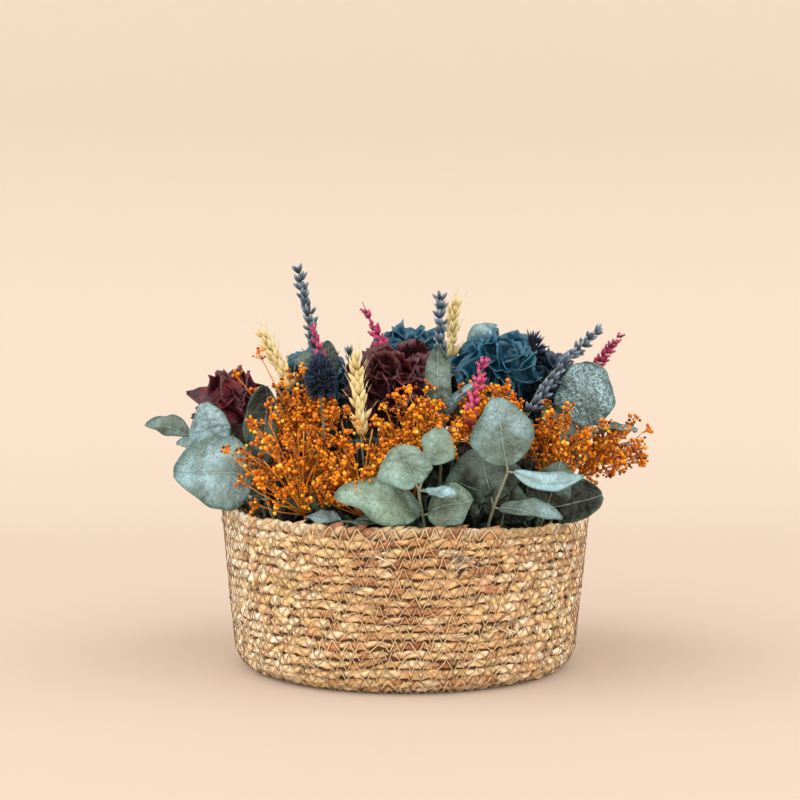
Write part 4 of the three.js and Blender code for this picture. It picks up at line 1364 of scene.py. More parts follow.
@dataclass
class Gypsophila(Plant):
    """A dyed spray: branches fork and fork again, and each last twig carries a bud."""

    hub: Point
    centre: Point
    spread: Point
    branches: int = 12
    forks: int = 7
    twigs: int = 10
    bud_size: float = 2.25
    tone: float = 0.4
    strays: Sequence[Point] = ()
    shoot_radius: float = 0.44
    twig_radius: float = 0.34
    twig_length: tuple[float, float] = (2.0, 7.0)

    def branch_ends(self) -> Array:
        """Spread the ends of the branches through the cloud.

        Returns:
            The ends, one a row.
        """
        out = on_ball(self.branches, 0.55, self.rng.uniform(0.0, 6.0))
        reach = self.rng.uniform(0.3, 0.8, (self.branches, 1))
        return vec(self.centre) + out * vec(self.spread) * reach

    def build(self) -> None:
        """Make the spray."""
        rng, hub = self.rng, vec(self.hub)
        self.line(self.bent_stem(self.hub, self.centre), 1.3, 0.9, 0.6, 6)
        shoots = []
        for end in self.branch_ends():
            sag = (hub + end) / 2 + rng.normal(0.0, 1.5, 3)
            self.line(smooth_line([hub, sag, end], 3), 0.75, 0.4, rng.uniform(), 4)
            shoots += [self.fork(hub, end) for _ in range(self.forks)]
        for end in map(vec, self.strays):
            sag = hub * 0.4 + end * 0.6 + rng.normal(0.0, 1.5, 3)
            self.line(smooth_line([hub, sag, end], 4), 0.5, 0.3, rng.uniform(), 4)
            shoots.append((sag * 0.3 + end * 0.7, end))
        starts, tips = np.array(shoots).transpose(1, 0, 2)
        self.add_shoots(starts, tips, self.shoot_radius)
        self.add_twigs(starts, tips)
        self.shape.build(f"{self.name}_spray", "gypsophila", self.name, "bud", "orange_stem")

    def inside(self, points: Array) -> Array:
        """Draw points that left the cloud back to its skin.

        Args:
            points: The points.

        Returns:
            The points, none of them outside.
        """
        heart, size = vec(self.centre), vec(self.spread)
        depth = np.linalg.norm((points - heart) / size, axis=-1, keepdims=True)
        return heart + (points - heart) / np.maximum(1.0, depth)

    def fork(self, hub: Array, end: Array) -> tuple[Array, Array]:
        """Let a straight shoot leave a branch at a sharp angle.

        Args:
            hub: Where the branch starts.
            end: Where it ends.

        Returns:
            The shoot's two ends.
        """
        heart, size = vec(self.centre), vec(self.spread)
        start = end + (hub - end) * self.rng.uniform(0.0, 0.8)
        outward = unit((end - heart) / size)
        way = unit(unit(end - hub) * 0.5 + outward * 0.8 + self.rng.normal(0.0, 0.5, 3))
        reach = size.mean() * self.rng.uniform(0.4, 0.8)
        return start, self.inside(start + way * reach)

    def add_shoots(self, starts: Array, tips: Array, radius: float) -> None:
        """Add straight thin shoots.

        Args:
            starts: Their roots.
            tips: Their ends.
            radius: Their radius at the root.
        """
        ways = tips - starts
        length = np.linalg.norm(ways, axis=-1, keepdims=True)
        tone = (np.arange(len(starts)) * GOLDEN_SHARE) % 1.0
        sizes = np.where([True, True, False], radius, length)
        self.shape.add_copies(SHOOT, starts, ways, sizes, slot=1, tone=tone)

    def add_twigs(self, starts: Array, tips: Array) -> None:
        """Grow twigs along the shoots, each with its bud.

        Args:
            starts: The shoots' roots.
            tips: The shoots' ends.
        """
        rng = self.rng
        near, far = (np.repeat(ends, self.twigs, axis=0) for ends in (starts, tips))
        many = len(near)
        back = 0.7 * rng.uniform(0.0, 1.0, (many, 1)) ** 1.7
        roots = far + (near - far) * back
        ways = unit(unit(far - near) + rng.normal(0.0, 0.6, (many, 3)))
        ends = roots + ways * rng.uniform(*self.twig_length, (many, 1)) * (0.7 + 0.6 * back)
        ends = ends if self.strays else self.inside(ends)
        self.add_shoots(roots, ends, self.twig_radius)
        ways = unit(ends - roots)
        size = self.bud_size * rng.uniform(0.6, 1.25, many)
        flat = size * rng.uniform(0.75, 1.1, many)
        sizes = np.stack([size, flat, size * rng.uniform(0.95, 1.4, many)], axis=-1)
        bases = ends - unit(ways) * size[:, None] * 0.3
        tone = np.clip(self.tone + rng.normal(0.0, 0.3, many), 0.0, 1.0)
        self.shape.add_copies(BUD, bases, ways, sizes, rise=True, tone=tone)


@dataclass
class Hydrangea(Plant):
    """A dried hydrangea head: creased four-sepalled florets over a dome."""

    centre: Point
    radius: float
    sepal: float
    hue: Hue
    narrow: float = 1.0
    florets: int = 30
    ruffle: float = 0.35
    tone: float = 0.5
    low: float = 0.5
    petals: int = 4
    grid: tuple[int, int] = (8, 6)
    stem_radius: float = 1.8
    stalk_radius: float = 0.6
    bead: tuple[float, float] = (1.6, 2.4)

    def add_sepal(self, middle: Array, out: Array, away: Array, tone: float) -> None:
        """Shape one sepal as a creased and curled sheet.

        Args:
            middle: The middle of its floret.
            out: The way that the floret looks.
            away: The way that the sepal grows.
            tone: The floret's tone.
        """
        rng, ruffle = self.rng, self.ruffle
        length = self.sepal * rng.uniform(0.8, 1.15)
        width = length * rng.uniform(0.85, 1.1) * self.narrow
        rows, columns = self.grid
        v, u = np.linspace(0.0, 1.0, rows)[:, None], np.linspace(-1.0, 1.0, columns)[None]
        outline = np.sin(math.pi * (0.06 + 0.88 * v**0.8)) ** 0.62
        if self.narrow < 0.9:
            outline = outline * (1.0 - 0.75 * v**3)
        across = u * (outline * width / 2)
        curl = rng.uniform(-0.2, 0.2) + rng.uniform(0.0, 0.6) * ruffle
        fold = rng.uniform(-0.12, 0.12) + rng.uniform(0.0, 0.35) * ruffle
        phase = rng.uniform(0.0, 6.3, 3)
        lift = curl * v**2 + fold * u**2 * outline
        waves = (0.03 + 0.05 * ruffle) * np.sin(6 * v + phase[0] + 2.4 * u)
        waves = waves + 0.06 * ruffle * np.sin(11 * u * v + phase[1])
        frill = 0.09 * ruffle * u**4 * np.sin(14 * v + phase[2])
        rise = length * (lift + (waves + frill) * v)
        bend = length * v * (1.0 - 0.15 * abs(curl) * v)
        grid = middle + away * bend[..., None] + np.cross(out, away) * across[..., None]
        grid = grid + out * rise[..., None]
        reach = np.maximum(np.abs(across).max(1, keepdims=True), 0.1)
        edge = np.maximum(np.abs(across) / reach, v)
        looks = {"across": across, "along": v * length, "edge": edge}
        looks["tone"] = min(1.0, tone + rng.normal(0.0, 0.1))
        self.shape.add_sheet(grid, SEPAL_THICKNESS, **looks)

    def build(self) -> None:
        """Make the head."""
        rng, shape, centre = self.rng, self.shape, vec(self.centre)
        neck = centre - UP * self.radius * 0.5
        shape.add_tube(self.bent_stem(neck, centre), self.stem_radius, 8, slot=1, tone=0.6)
        inner = max(4.0, self.radius - self.sepal * 0.62)
        for out in on_ball(self.florets, self.low, rng.uniform(0.0, 6.0)):
            out = unit(out + rng.normal(0.0, 0.12, 3))
            middle = centre + out * inner * rng.uniform(0.75, 1.05)
            stalk = np.linspace(centre, middle, 3)
            shape.add_tube(stalk, self.stalk_radius, 4, slot=1, tone=0.9)
            side = any_side(out[None])[0]
            spin = rng.uniform(0.0, math.pi)
            tone = self.tone + rng.uniform(-0.4, 0.4)
            for j in range(self.petals):
                angle = spin + j * math.pi / 2 + rng.normal(0.0, 0.12)
                away = side * math.cos(angle) + np.cross(out, side) * math.sin(angle)
                self.add_sepal(middle, out, unit(away + out * rng.uniform(-0.25, 0.45)), tone)
            bead = rng.uniform(*self.bead)
            shape.add_copies(BUD, middle[None], out[None], bead, tone=0.9, edge=0.5)
        petal = self.hue.value
        shape.build(f"{self.name}_head", petal, self.name, petal, "green_stem")


@dataclass(frozen=True)
class SpikeHabit:
    """How a kind of spike carries its florets."""

    pitch: float
    around: int
    length: float
    width: float
    spread: float
    taper: float
    stem: float
    loss: float


HABITS = {
    Kind.LAVENDER: SpikeHabit(5.8, 6, 8.8, 2.8, 0.5, 0.2, 0.8, 0.0),
    Kind.PINK: SpikeHabit(4.2, 4, 7.6, 3.7, 0.64, 0.45, 0.6, 0.35),
    Kind.WHEAT: SpikeHabit(4.2, 4, 11.5, 3.9, 0.42, 0.25, 1.0, 0.0),
}


@dataclass
class Spike(Plant):
    """A stem with whorls of narrow florets, bristled in wheat and four-lobed in pink."""

    kind: Kind
    neck: Point
    tip: Point
    dark: float = 0.0
    sparse: float = 0.0

    def build(self) -> None:
        """Make the spike."""
        rng, habit, neck = self.rng, HABITS[self.kind], vec(self.neck)
        span = vec(self.tip) - neck
        axis, reach = unit(span), float(np.linalg.norm(span))
        stem = np.vstack([self.bent_stem(self.neck, self.tip), neck + axis * reach * 0.9])
        radius = np.linspace(habit.stem, habit.stem * 0.5, len(stem))
        slot = 0 if self.kind is Kind.PINK else 1
        self.shape.add_tube(stem, radius, 6, slot=slot, tone=0.3, along=0.1)
        side = any_side(axis[None])[0]
        other = np.cross(axis, side)
        room = reach - habit.length * (1 - habit.taper) * math.cos(habit.spread)
        whorls = round(room / habit.pitch) + 1
        rows = []
        for k in range(whorls):
            t = k / (whorls - 1)
            scale = 1.0 - habit.taper * t
            width = habit.width * scale
            for j in range(habit.around):
                angle = TAU * (j + 0.5 * (k % 2)) / habit.around + rng.normal(0.0, 0.15)
                out = side * math.cos(angle) + other * math.sin(angle)
                if rng.uniform() < habit.loss * t * t + self.sparse * t:
                    continue
                spread = habit.spread + rng.normal(0.0, 0.2)
                way = axis * math.cos(spread) + out * math.sin(spread)
                root = neck + axis * room * t + axis * rng.uniform(-1.0, 1.0) + out * 0.4
                long = habit.length * scale * rng.uniform(0.85, 1.1)
                rows.append((root, way, (width, width, long)))
        roots, ways, sizes = np.array(rows).transpose(1, 0, 2)
        add, long = self.shape.add_copies, ways * sizes[:, 2:3]
        wheat, pink = self.kind is Kind.WHEAT, self.kind is Kind.PINK
        tone = np.clip(rng.uniform(0.1, 0.9, len(roots)) - self.dark, -1.0, 1.0)
        add(HUSK if wheat else FLORET, roots, ways, sizes, axis, rise=True, tone=tone)
        if wheat:
            tips = roots + long * 0.92
            add(SPINE, tips, ways, (0.45, 0.45, 8.0), axis, tone=tone, along=0.9)
        side, out, _ = frames(ways, axis).transpose(2, 0, 1)
        for angle in np.arange(4) * math.pi / 2 if pink else ():
            lobe = unit(side * math.cos(angle) + out * math.sin(angle) + ways)
            mouths = roots + long * 0.9
            add(SPINE, mouths, lobe, (1.0, 0.8, 1.6), ways, tone=tone, along=0.95)
        floret = self.kind.value
        self.shape.build(f"{self.name}_spike", floret, self.name, floret, "green_stem")


@dataclass
class Thistle(Plant):
    """A dense dark head of short points."""

    neck: Point
    tip: Point
    width: float
    points: int
    length: float
    thickness: float
    stem_radius: float = 1.2

    def build(self) -> None:
        """Make the head."""
        rng, shape, neck, tip = self.rng, self.shape, vec(self.neck), vec(self.tip)
        axis, height = unit(tip - neck), float(np.linalg.norm(tip - neck))
        middle = (neck + tip) / 2
        stem = np.vstack([self.bent_stem(self.neck, self.tip), middle])
        shape.add_tube(stem, self.stem_radius, 6, slot=1, tone=0.6)
        turn = frames(axis[None], any_side(axis[None]))[0]
        ball = on_ball(self.points, 0.92)
        inner = np.array([self.width * 0.27, self.width * 0.27, height * 0.33])
        egg = 1.0 - 0.35 * np.clip(ball[:, 2:3], 0.0, 1.0)
        local = ball * inner * np.concatenate([egg, egg, np.ones_like(egg)], axis=1)
        ways = unit(ball + 0.5 * UP + rng.normal(0.0, 0.24, ball.shape)) @ turn.T
        size = rng.uniform(0.75, 1.15, (len(ball), 1))
        sizes = size * np.array([self.thickness, self.thickness, self.length])
        tone = rng.uniform(0.0, 1.0, len(ball))
        shape.add_copies(POINT, middle + local @ turn.T, ways, sizes, rise=True, tone=tone)
        root = middle - axis * inner[2] * 1.05
        shape.add_copies(CORE, root[None], axis[None], inner * 2.1, tone=0.0)
        shape.build(f"{self.name}_head", "thistle", self.name, "thistle", "green_stem")


FRONT = (0.0, -1.0, 0.1)
# Near-black leaves facing the front, which fill gaps between the flowers with painted shade.
SCREENS = (
    ((-78, -40, 108), Leaf(0, (-92, -44, 150), FRONT, 34, tone=0.1)),
    ((-62, -44, 106), Leaf(0, (-70, -50, 146), FRONT, 32, tone=0.06)),
    ((-48, -52, 104), Leaf(0, (-50, -56, 146), FRONT, 34, tone=0.12)),
    ((-30, -56, 104), Leaf(0, (-30, -60, 150), FRONT, 32, tone=0.08)),
    ((-50, -20, 140), Leaf(0, (-56, -24, 178), FRONT, 30, tone=0.05)),
    ((-34, -34, 130), Leaf(0, (-38, -44, 170), FRONT, 30, tone=0.1)),
    ((-12, -60, 108), Leaf(0, (-8, -70, 146), FRONT, 30, tone=0.2)),
    ((58, -46, 120), Leaf(0, (62, -52, 160), FRONT, 30, tone=0.08)),
    ((78, -36, 120), Leaf(0, (84, -44, 156), FRONT, 32, tone=0.1)),
    ((-8, -90, 98), Leaf(0, (0, -106, 124), (0.0, -1.0, 0.4), 28, 0.1, tone=0.4)),
    ((32, -84, 98), Leaf(0, (28, -98, 128), (0.0, -1.0, 0.3), 32, 0.1, tone=0.26)),
    ((58, -80, 98), Leaf(0, (64, -92, 126), (0.0, -1.0, 0.3), 32, 0.1, tone=0.16)),
)


@dataclass
class Undergrowth:
    """Short dark leaves low between the stems, which hide the foam, and the SCREENS; their dark
    tones are painted shade.
    """

    count: int = 190
    radius: float = 94.0
    low: float = 70.0
    high: float = 156.0
    drop: float = 28.0
    rim_height: float = 106.0
    inside: float = 96.0
    front: float = -50.0
    front_rise: float = 30.0
    widths: tuple[float, float] = (17.0, 30.0)
    stalk_radius: float = 0.8
    seed: int = 77

    def build(self) -> None:
        """Make the undergrowth."""
        rng, shape = np.random.default_rng(self.seed), Shape()
        for i in range(self.count):
            angle = i * GOLDEN_ANGLE
            reach = self.radius * math.sqrt((i + 0.5) / self.count)
            x, y = reach * math.cos(angle), reach * math.sin(angle)
            dome = self.high - self.drop * (reach / self.radius) ** 2
            z = rng.uniform(self.low, dome if y > self.front else self.low + self.front_rise)
            root, out = np.array([x, y, z]), np.array([x, y, 0.0]) / self.radius
            way = unit(out * 0.8 + UP * rng.uniform(0.2, 1.0) + rng.normal(0.0, 0.35, 3))
            width = rng.uniform(*self.widths)
            tip = root + way * (width * 1.05 + STALK_LENGTH)
            if min(z, tip[2]) < self.rim_height:
                tip[:2] *= min(1.0, self.inside / float(np.linalg.norm(tip[:2])))
            face = unit(rng.normal(0.0, 0.6, 3) + out + 0.2 * UP)
            cup, arch = rng.uniform(0.02, 0.16), rng.uniform(-0.08, 0.1)
            # Near-black tone: painted shade inside the bouquet.
            leaf = Leaf(0, tip, face, width, cup, arch, tone=rng.uniform(0.0, 0.18), olive=0.8)
            leaf.grow(shape, root, rng, 11, 7)
            stalk = np.linspace([x, y, STALK_FOOT], root, 4)
            shape.add_tube(stalk, self.stalk_radius, 5, slot=1, tone=rng.uniform(0.6, 1.0))
        for root, leaf in SCREENS:
            leaf.grow(shape, vec(root), rng)
            foot = [root[0] * 0.9, root[1] * 0.85, STALK_FOOT]
            stalk = np.linspace(foot, root, 4)
            shape.add_tube(stalk, self.stalk_radius, 5, slot=1, tone=0.8)
        shape.build("inner_foliage", "eucalyptus", None, "leaf", "green_stem")


# Every plant, with its hole in the foam and its seed, as in the CAD model


SPRIGS = (
    Sprig("eucalyptus_left", (-70, -50), 3, [(-78, -56, 88), (-86, -61, 112), (-91, -61, 128)], [
        Leaf(2, (-143, -68, 130), (0.1, -1, 0.3), 49, 0.05, 0.04, tone=0.74, point=0.5),
        Leaf(2, (-87, -57, 183), (-0.4, -1, 0), 23, 0.2, -0.06, tone=0.2),
        Leaf(1, (-148, -30, 128), (0, -0.3, 1), 18, arch=0.05, tone=0.6),
    ]),
    Sprig("eucalyptus_left_high", (-84, -28), 4,
        [(-98, -32, 104), (-118, -34, 136), (-134, -36, 150)], [
        Leaf(2, (-166, -32, 157), (0, -0.7, 0.8), 17, 0.2, 0.08, tone=0.5),
        Leaf(1, (-127, -42, 172), (-0.2, -1, 0.2), 27, 0.12, tone=0.92),
    ]),
    Sprig("eucalyptus_front_low", (-32, -78), 5, [(-33, -90, 88), (-35, -98, 103)], [
        Leaf(1, (-60, -95, 105), (0, -0.3, 1), 16, 0.1, tone=0.85),
        Leaf(1, (-14, -108, 104), (0, -0.5, 1), 14, 0.1, tone=0.6),
    ]),
    Sprig("eucalyptus_front_centre", (12, -74), 6,
        [(12, -92, 92), (10, -101, 107), (8, -109, 123), (13, -107, 135)], [
        Leaf(2, (-6, -118, 150), (-0.2, -1, 0.2), 31, 0.14, -0.08, tone=0.88, olive=0.6),
        Leaf(2, (29, -125, 121), (0, -0.4, 1), 13, 0.25, -0.04, tone=0.92),
        Leaf(3, (23, -97, 159), (0.2, -1, 0.1), 21, 0.06, tone=0.74, olive=0.7),
        Leaf(1, (-42, -112, 119), (0.2, -0.8, 0.6), 30, 0.1, 0.1, 0.12, 0.67, olive=0.9),
        Leaf(1, (39, -112, 118), (-0.1, -0.8, 0.6), 30, 0.07, tone=0.56, olive=0.6),
    ]),
    Sprig("eucalyptus_front_right", (46, -68), 7, [(48, -84, 90), (53, -93, 111), (61, -99, 133)], [
        Leaf(2, (54, -92, 177), (0, -1, 0.15), 37, 0.05, wave=0.06, tone=0.65, point=0.4),
        Leaf(2, (105, -110, 131), (0.05, -0.8, 0.6), 13, 0.14, -0.22, tone=0.94),
        Leaf(1, (45, -80, 146), (0, -1, 0.1), 44, 0.06, tone=0.34),
        Leaf(1, (92, -112, 106), (0, -0.5, 0.9), 17, 0.15, 0.04, tone=0.6),
    ]),
    Sprig("eucalyptus_front_far_right", (74, -50), 8, [(80, -66, 88), (86, -78, 108)], [
        Leaf(1, (120, -80, 117), (0.3, -1, 0.6), 29, 0.06, 0.05, tone=-0.1, olive=1.0),
        Leaf(1, (94, -84, 138), (0.1, -1, 0.2), 24, 0.08, tone=0.25),
    ]),
    Sprig("eucalyptus_right", (84, -24), 9, [(98, -26, 106), (112, -30, 136), (120, -33, 153)], [
        Leaf(2, (112, -28, 197), (-0.1, -1, 0.1), 38, 0.08, tone=0.8, speckle=1.0),
        Leaf(2, (146, -47, 154), (0, -0.3, 1), 15, 0.15, tone=0.6),
        Leaf(1, (88, -32, 170), (0.2, -1, 0.1), 22, 0.1, tone=0.3),
    ]),
    Sprig("eucalyptus_centre_tall", (20, -44), 10, [(21, -56, 110), (23, -64, 161)], [
        Leaf(1, (20, -60, 207), (-0.4, -1, 0), 18, 0.12, tone=0.4),
        Leaf(1, (46, -68, 185), (-0.6, -0.3, 0.7), 12, 0.3, tone=0.9),
    ]),
    Sprig("eucalyptus_top_right", (34, 22), 11, [(36, 18, 130), (39, 14, 206)], [
        Leaf(1, (61, 12, 221), (-0.3, -1, 0.6), 14, 0.15, tone=0.92, point=0.5),
        Leaf(1, (62, 34, 214), (-0.2, -1, 0.3), 13, 0.15, tone=0.6),
    ]),
    Sprig("eucalyptus_top_left", (-44, 12), 12, [(-48, 6, 130), (-50, -4, 184)], [
        Leaf(1, (-50, -12, 211), (-0.1, -1, 0.2), 15, 0.12, tone=0.6),
        Leaf(1, (-72, 4, 200), (0.3, -1, 0.4), 15, 0.15, tone=0.4),
    ]),
    Sprig("eucalyptus_side_left", (-86, 16), 13, [(-98, 18, 106), (-112, 20, 130)], [
        Leaf(1, (-152, 10, 142), (0.3, -0.4, 1), 28, 0.08, 0.08, tone=0.8),
        Leaf(1, (-124, 44, 154), (-0.8, 0.5, 0.5), 26, 0.1, tone=0.6),
    ]),
    Sprig("eucalyptus_side_right", (88, 14), 14, [(100, 18, 106), (114, 24, 128)], [
        Leaf(1, (152, 26, 140), (-0.2, 0.2, 1), 28, 0.1, 0.06, tone=0.7),
        Leaf(1, (120, 52, 156), (0.8, 0.6, 0.3), 26, 0.1, tone=0.85),
    ]),
    Sprig("eucalyptus_back_left", (-60, 58), 15, [(-66, 68, 92), (-74, 80, 118), (-78, 86, 134)], [
        Leaf(2, (-116, 104, 144), (-0.2, 0.9, 0.6), 36, 0.06, tone=0.8),
        Leaf(2, (-72, 90, 182), (-0.3, 1, 0.1), 30, 0.1, tone=0.6),
        Leaf(1, (-58, 116, 122), (0.1, 0.3, 1), 22, 0.12, tone=0.9),
    ]),
    Sprig("eucalyptus_back_centre", (-8, 80), 16, [(-8, 90, 92), (-4, 100, 112), (0, 104, 132)], [
        Leaf(2, (2, 108, 178), (0, 1, 0.1), 40, 0.06, wave=0.05, tone=0.9),
        Leaf(1, (-42, 122, 120), (0, 0.6, 0.8), 26, 0.1, tone=0.7),
        Leaf(1, (36, 124, 116), (0, 0.6, 0.8), 26, 0.1, tone=0.5),
    ]),
    Sprig("eucalyptus_back_right", (60, 60), 17, [(66, 70, 92), (74, 82, 118), (78, 88, 136)], [
        Leaf(2, (116, 100, 150), (0.3, 0.9, 0.5), 34, 0.06, tone=0.75),
        Leaf(2, (66, 96, 184), (0.2, 1, 0.1), 30, 0.1, tone=0.5),
        Leaf(1, (96, 112, 118), (0.1, 0.3, 1), 22, 0.12, tone=0.85),
    ]),
    Sprig("eucalyptus_back_high", (6, 50), 18, [(10, 58, 130), (14, 66, 184)], [
        Leaf(1, (12, 80, 214), (0.2, 1, 0.1), 22, 0.1, tone=0.7),
        Leaf(1, (-14, 82, 206), (-0.2, 1, 0.6), 22, 0.12, tone=0.6),
        Leaf(1, (36, 70, 206), (0.2, 0.8, 0.7), 20, 0.12, tone=0.8),
    ]),
)

HEADS = (
    Hydrangea(
        "hydrangea_burgundy_centre", (-8, -24), 5, (-9, -32, 180), 30, 19, Hue.BURGUNDY,
        ruffle=0.8, tone=0.3,
    ),
    Hydrangea(
        "hydrangea_burgundy_left", (-74, 2), 11, (-112, -12, 168), 24, 22, Hue.BURGUNDY,
        narrow=0.86, florets=15, tone=0.85,
    ),
    Hydrangea("hydrangea_teal_centre", (-10, 26), 17, (2, 28, 193), 26, 23, Hue.TEAL, florets=22),
    Hydrangea("hydrangea_teal_right", (52, -2), 23, (58, -6, 190), 25, 23, Hue.TEAL, florets=22),
    Hydrangea("hydrangea_navy_right", (76, 34), 31, (98, 16, 176), 25, 20, Hue.NAVY),
    # A tone below zero darkens this back head to its deepest dye: painted shade.
    Hydrangea(
        "hydrangea_teal_back", (-56, 34), 37, (-60, 52, 176), 27, 22, Hue.TEAL, florets=24,
        tone=-0.8,
    ),
    Hydrangea(
        "hydrangea_burgundy_back", (42, 44), 41, (50, 52, 174), 27, 19, Hue.BURGUNDY, ruffle=0.8,
    ),
)

LAVENDER, PINK, WHEAT = Kind
SPIKES = (
    Spike("lavender_left", (-36, -8), 51, LAVENDER, (-57, -22, 206), (-70, -20, 260)),
    Spike("lavender_centre", (20, -12), 52, LAVENDER, (23, -16, 198), (23, -10, 243)),
    Spike("lavender_right", (70, -8), 53, LAVENDER, (97, -22, 193), (128, -8, 219)),
    Spike("lavender_right_front", (62, -30), 54, LAVENDER, (78, -48, 166), (103, -40, 200)),
    Spike("lavender_back_left", (-30, 40), 55, LAVENDER, (-30, 58, 166), (-40, 70, 206)),
    Spike("lavender_back_right", (70, 18), 56, LAVENDER, (84, 46, 170), (98, 60, 206)),
    Spike("pink_spike_left", (-40, -30), 57, PINK, (-48, -40, 180), (-59, -35, 221), 0.3, 0.2),
    Spike("pink_spike_centre", (-14, 4), 58, PINK, (-14, 2, 206), (-30, 4, 240), 0.6, 0.6),
    Spike("pink_spike_front", (36, -54), 59, PINK, (38, -80, 160), (48, -76, 201)),
    Spike("pink_spike_right", (92, -6), 60, PINK, (118, 0, 184), (142, 5, 215), dark=1.0),
    Spike("pink_spike_back", (-22, 62), 61, PINK, (-22, 78, 166), (-26, 88, 206)),
    Spike("wheat_centre", (-20, -50), 62, WHEAT, (-27, -82, 153), (-31, -75, 205)),
    Spike("wheat_left", (-60, -14), 63, WHEAT, (-72, -36, 180), (-93, -30, 219)),
    Spike("wheat_top", (26, 6), 64, WHEAT, (29, 4, 198), (33, 8, 240)),
    Spike("wheat_back", (36, 76), 65, WHEAT, (38, 88, 160), (44, 96, 206)),
)

THISTLES = (
    Thistle("thistle_left", (-42, -50), 71, (-52, -57, 171), (-54, -53, 205), 23, 330, 5.6, 1.9),
    Thistle("thistle_right", (60, 16), 72, (82, 8, 192), (85, 8, 215), 16, 110, 8.5, 1.5),
    Thistle("thistle_back", (-48, 66), 73, (-50, 84, 182), (-54, 90, 204), 14, 90, 7.0, 1.3),
)

SPRAYS = (
    Gypsophila(
        "gypsophila_front_left", (-56, -60), 3, (-62, -72, 104), (-70, -78, 142), (34, 22, 36),
        strays=(
            (-107, -90, 144), (-98, -92, 126), (-90, -84, 112), (-84, -90, 120), (-76, -94, 112),
            (-68, -96, 122), (-58, -98, 114), (-46, -99, 118),
        ),
    ),
    Gypsophila(
        "gypsophila_front", (-12, -66), 7, (-26, -82, 104), (-32, -88, 138), (30, 18, 36),
        strays=((-52, -99, 124), (-40, -101, 116), (-34, -102, 126)),
    ),
    Gypsophila(
        "gypsophila_mid_left", (-56, -34), 13, (-60, -40, 140), (-66, -44, 172), (28, 18, 24),
        strays=((-92, -40, 202), (-106, -42, 188)),
    ),
    Gypsophila(
        "gypsophila_centre", (4, -52), 19, (8, -72, 130), (16, -82, 158), (30, 18, 28), tone=0.42,
        strays=((-12, -86, 170), (-6, -88, 176), (-16, -86, 162), (2, -88, 180)),
    ),
    Gypsophila("gypsophila_top", (44, -38), 29, (50, -50, 144), (52, -58, 170), (22, 18, 23)),
    Gypsophila(
        "gypsophila_right", (72, -34), 31, (86, -54, 128), (98, -64, 152), (28, 20, 24),
        branches=9, forks=6, twigs=9, tone=0.36,
    ),
    Gypsophila(
        "gypsophila_far_right", (92, 2), 43, (112, -14, 122), (134, -24, 143), (26, 26, 26),
        branches=11, forks=6, twigs=12, tone=0.36,
    ),
    Gypsophila("gypsophila_left", (-82, 36), 47, (-94, 34, 118), (-104, 34, 148), (28, 28, 28)),
    Gypsophila("gypsophila_back", (-36, 74), 53, (-36, 84, 118), (-34, 94, 150), (32, 22, 32)),
    Gypsophila("gypsophila_back_right", (84, 34), 59, (92, 48, 118), (100, 56, 150), (28, 26, 30)),
)


# The studio


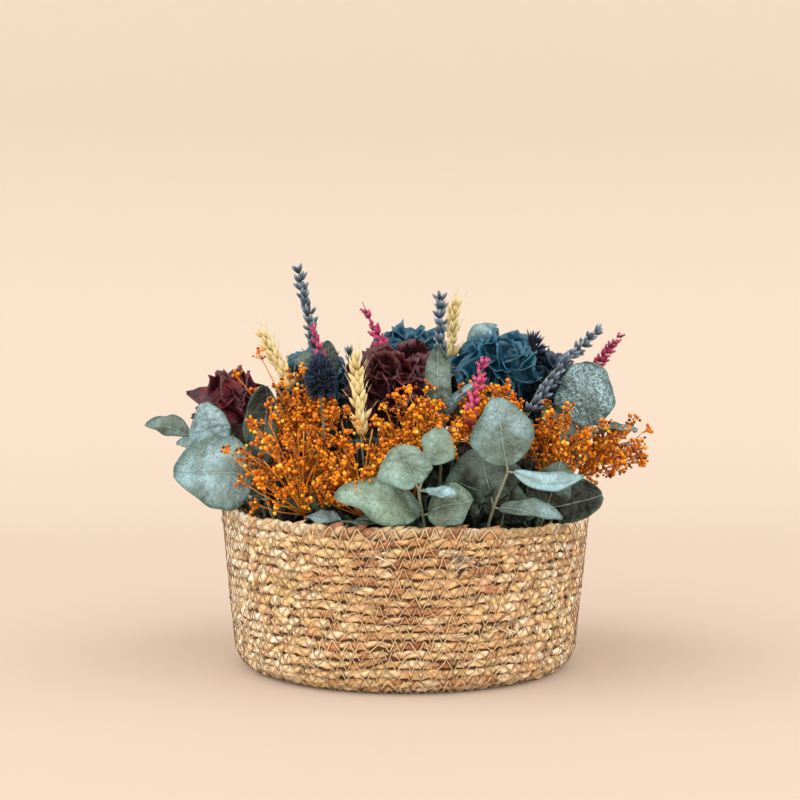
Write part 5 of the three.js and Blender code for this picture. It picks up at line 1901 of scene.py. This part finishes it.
@dataclass
class Studio:
    """A pale paper sweep, soft lights and the camera."""

    camera_x: float = -3.4
    camera_distance: float = 1050.0
    camera_height: float = 216.0
    camera_pitch: float = 0.042
    focal: float = 1597.0
    image: float = 800.0
    sensor: float = 36.0
    half_width: float = 2600.0
    front_edge: float = -1600.0
    wall_top: float = 2600.0
    shade_start: float = 300.0
    shade_length: float = 800.0
    bend_start: float = 600.0
    bend_radius: float = 500.0
    light_spread: float = 120.0
    light_colour: Colour = (1.0, 0.98, 0.95)
    air_colour: Colour = (1.0, 0.96, 0.92)
    air_strength: float = 0.76

    @staticmethod
    def link(name: str, data: Any) -> bpy.types.Object:
        """Put a mesh, a light or a camera in the scene.

        Args:
            name: The new object's name.
            data: What it shows.

        Returns:
            The object.
        """
        made = bpy.data.objects.new(name, data)
        bpy.context.collection.objects.link(made)
        return made

    def build_floor(self) -> None:
        """Lay the paper and curve it up behind."""
        start, r = self.bend_start, self.bend_radius
        angles = np.linspace(0.1, 1.57, 12)
        bend = [(start + r * math.sin(a), r - r * math.cos(a)) for a in angles]
        flat = [(y, 0.0) for y in (self.front_edge, self.shade_start, start)]
        profile = [*flat, *bend, (start + r, self.wall_top)]
        sides = -self.half_width, self.half_width
        points = np.array([[[x, y, z] for x in sides] for y, z in profile])
        mesh = bpy.data.meshes.new("studio_floor")
        faces = ring_faces(len(profile), 2, closed=False)
        mesh.from_pydata((points.reshape(-1, 3) * MM).tolist(), [], faces.tolist())
        mesh.shade_smooth()
        back = points[..., 1].reshape(-1) - self.shade_start
        rise = np.clip(back / self.shade_length, 0.0, 1.0)
        mesh.attributes.new("rise", "FLOAT", "POINT").data.foreach_set("value", rise)
        mesh.materials.append(BackdropFinish().build())
        self.link("studio_floor", mesh)

    def add_sun(self, name: str, way: Point, strength: float) -> None:
        """Add an even light with soft shadows.

        Args:
            name: Its name.
            way: The direction that it shines in.
            strength: Its strength.
        """
        lamp = bpy.data.lights.new(name, "SUN")
        lamp.angle = math.radians(self.light_spread)
        lamp.energy = strength
        lamp.color = self.light_colour
        turn = Vector(way).to_track_quat("-Z", "Y")
        self.link(name, lamp).rotation_euler = turn.to_euler()

    def build(self) -> None:
        """Set the floor, the lights, the air and the camera."""
        self.build_floor()
        self.add_sun("key_light", (0.95, 0.24, -0.28), 4.2)
        self.add_sun("fill_light", (-0.93, 0.34, -0.28), 3.3)
        scene = bpy.context.scene
        scene.world = bpy.data.worlds.new("studio_air")
        scene.world.use_nodes = True
        air = scene.world.node_tree.nodes["Background"].inputs
        air[0].default_value = (*self.air_colour, 1.0)
        air[1].default_value = self.air_strength
        scene.view_settings.view_transform = "Standard"
        lens = bpy.data.cameras.new("camera")
        lens.lens = self.sensor * self.focal / self.image
        lens.sensor_width = self.sensor
        camera = self.link("camera", lens)
        camera.location = Vector((self.camera_x, -self.camera_distance, self.camera_height)) * MM
        camera.rotation_euler = (math.pi / 2 - self.camera_pitch, 0.0, 0.0)
        scene.camera = camera


def main() -> None:
    """Build the basket, its plants and the studio."""
    logging.basicConfig(level=logging.INFO, format="%(message)s")
    plants = *SPRIGS, *HEADS, *SPIKES, *THISTLES, *SPRAYS, Undergrowth()
    for part in (Basket(), Foam(), *plants, Studio()):
        part.build()


if __name__ == "__main__":
    main()
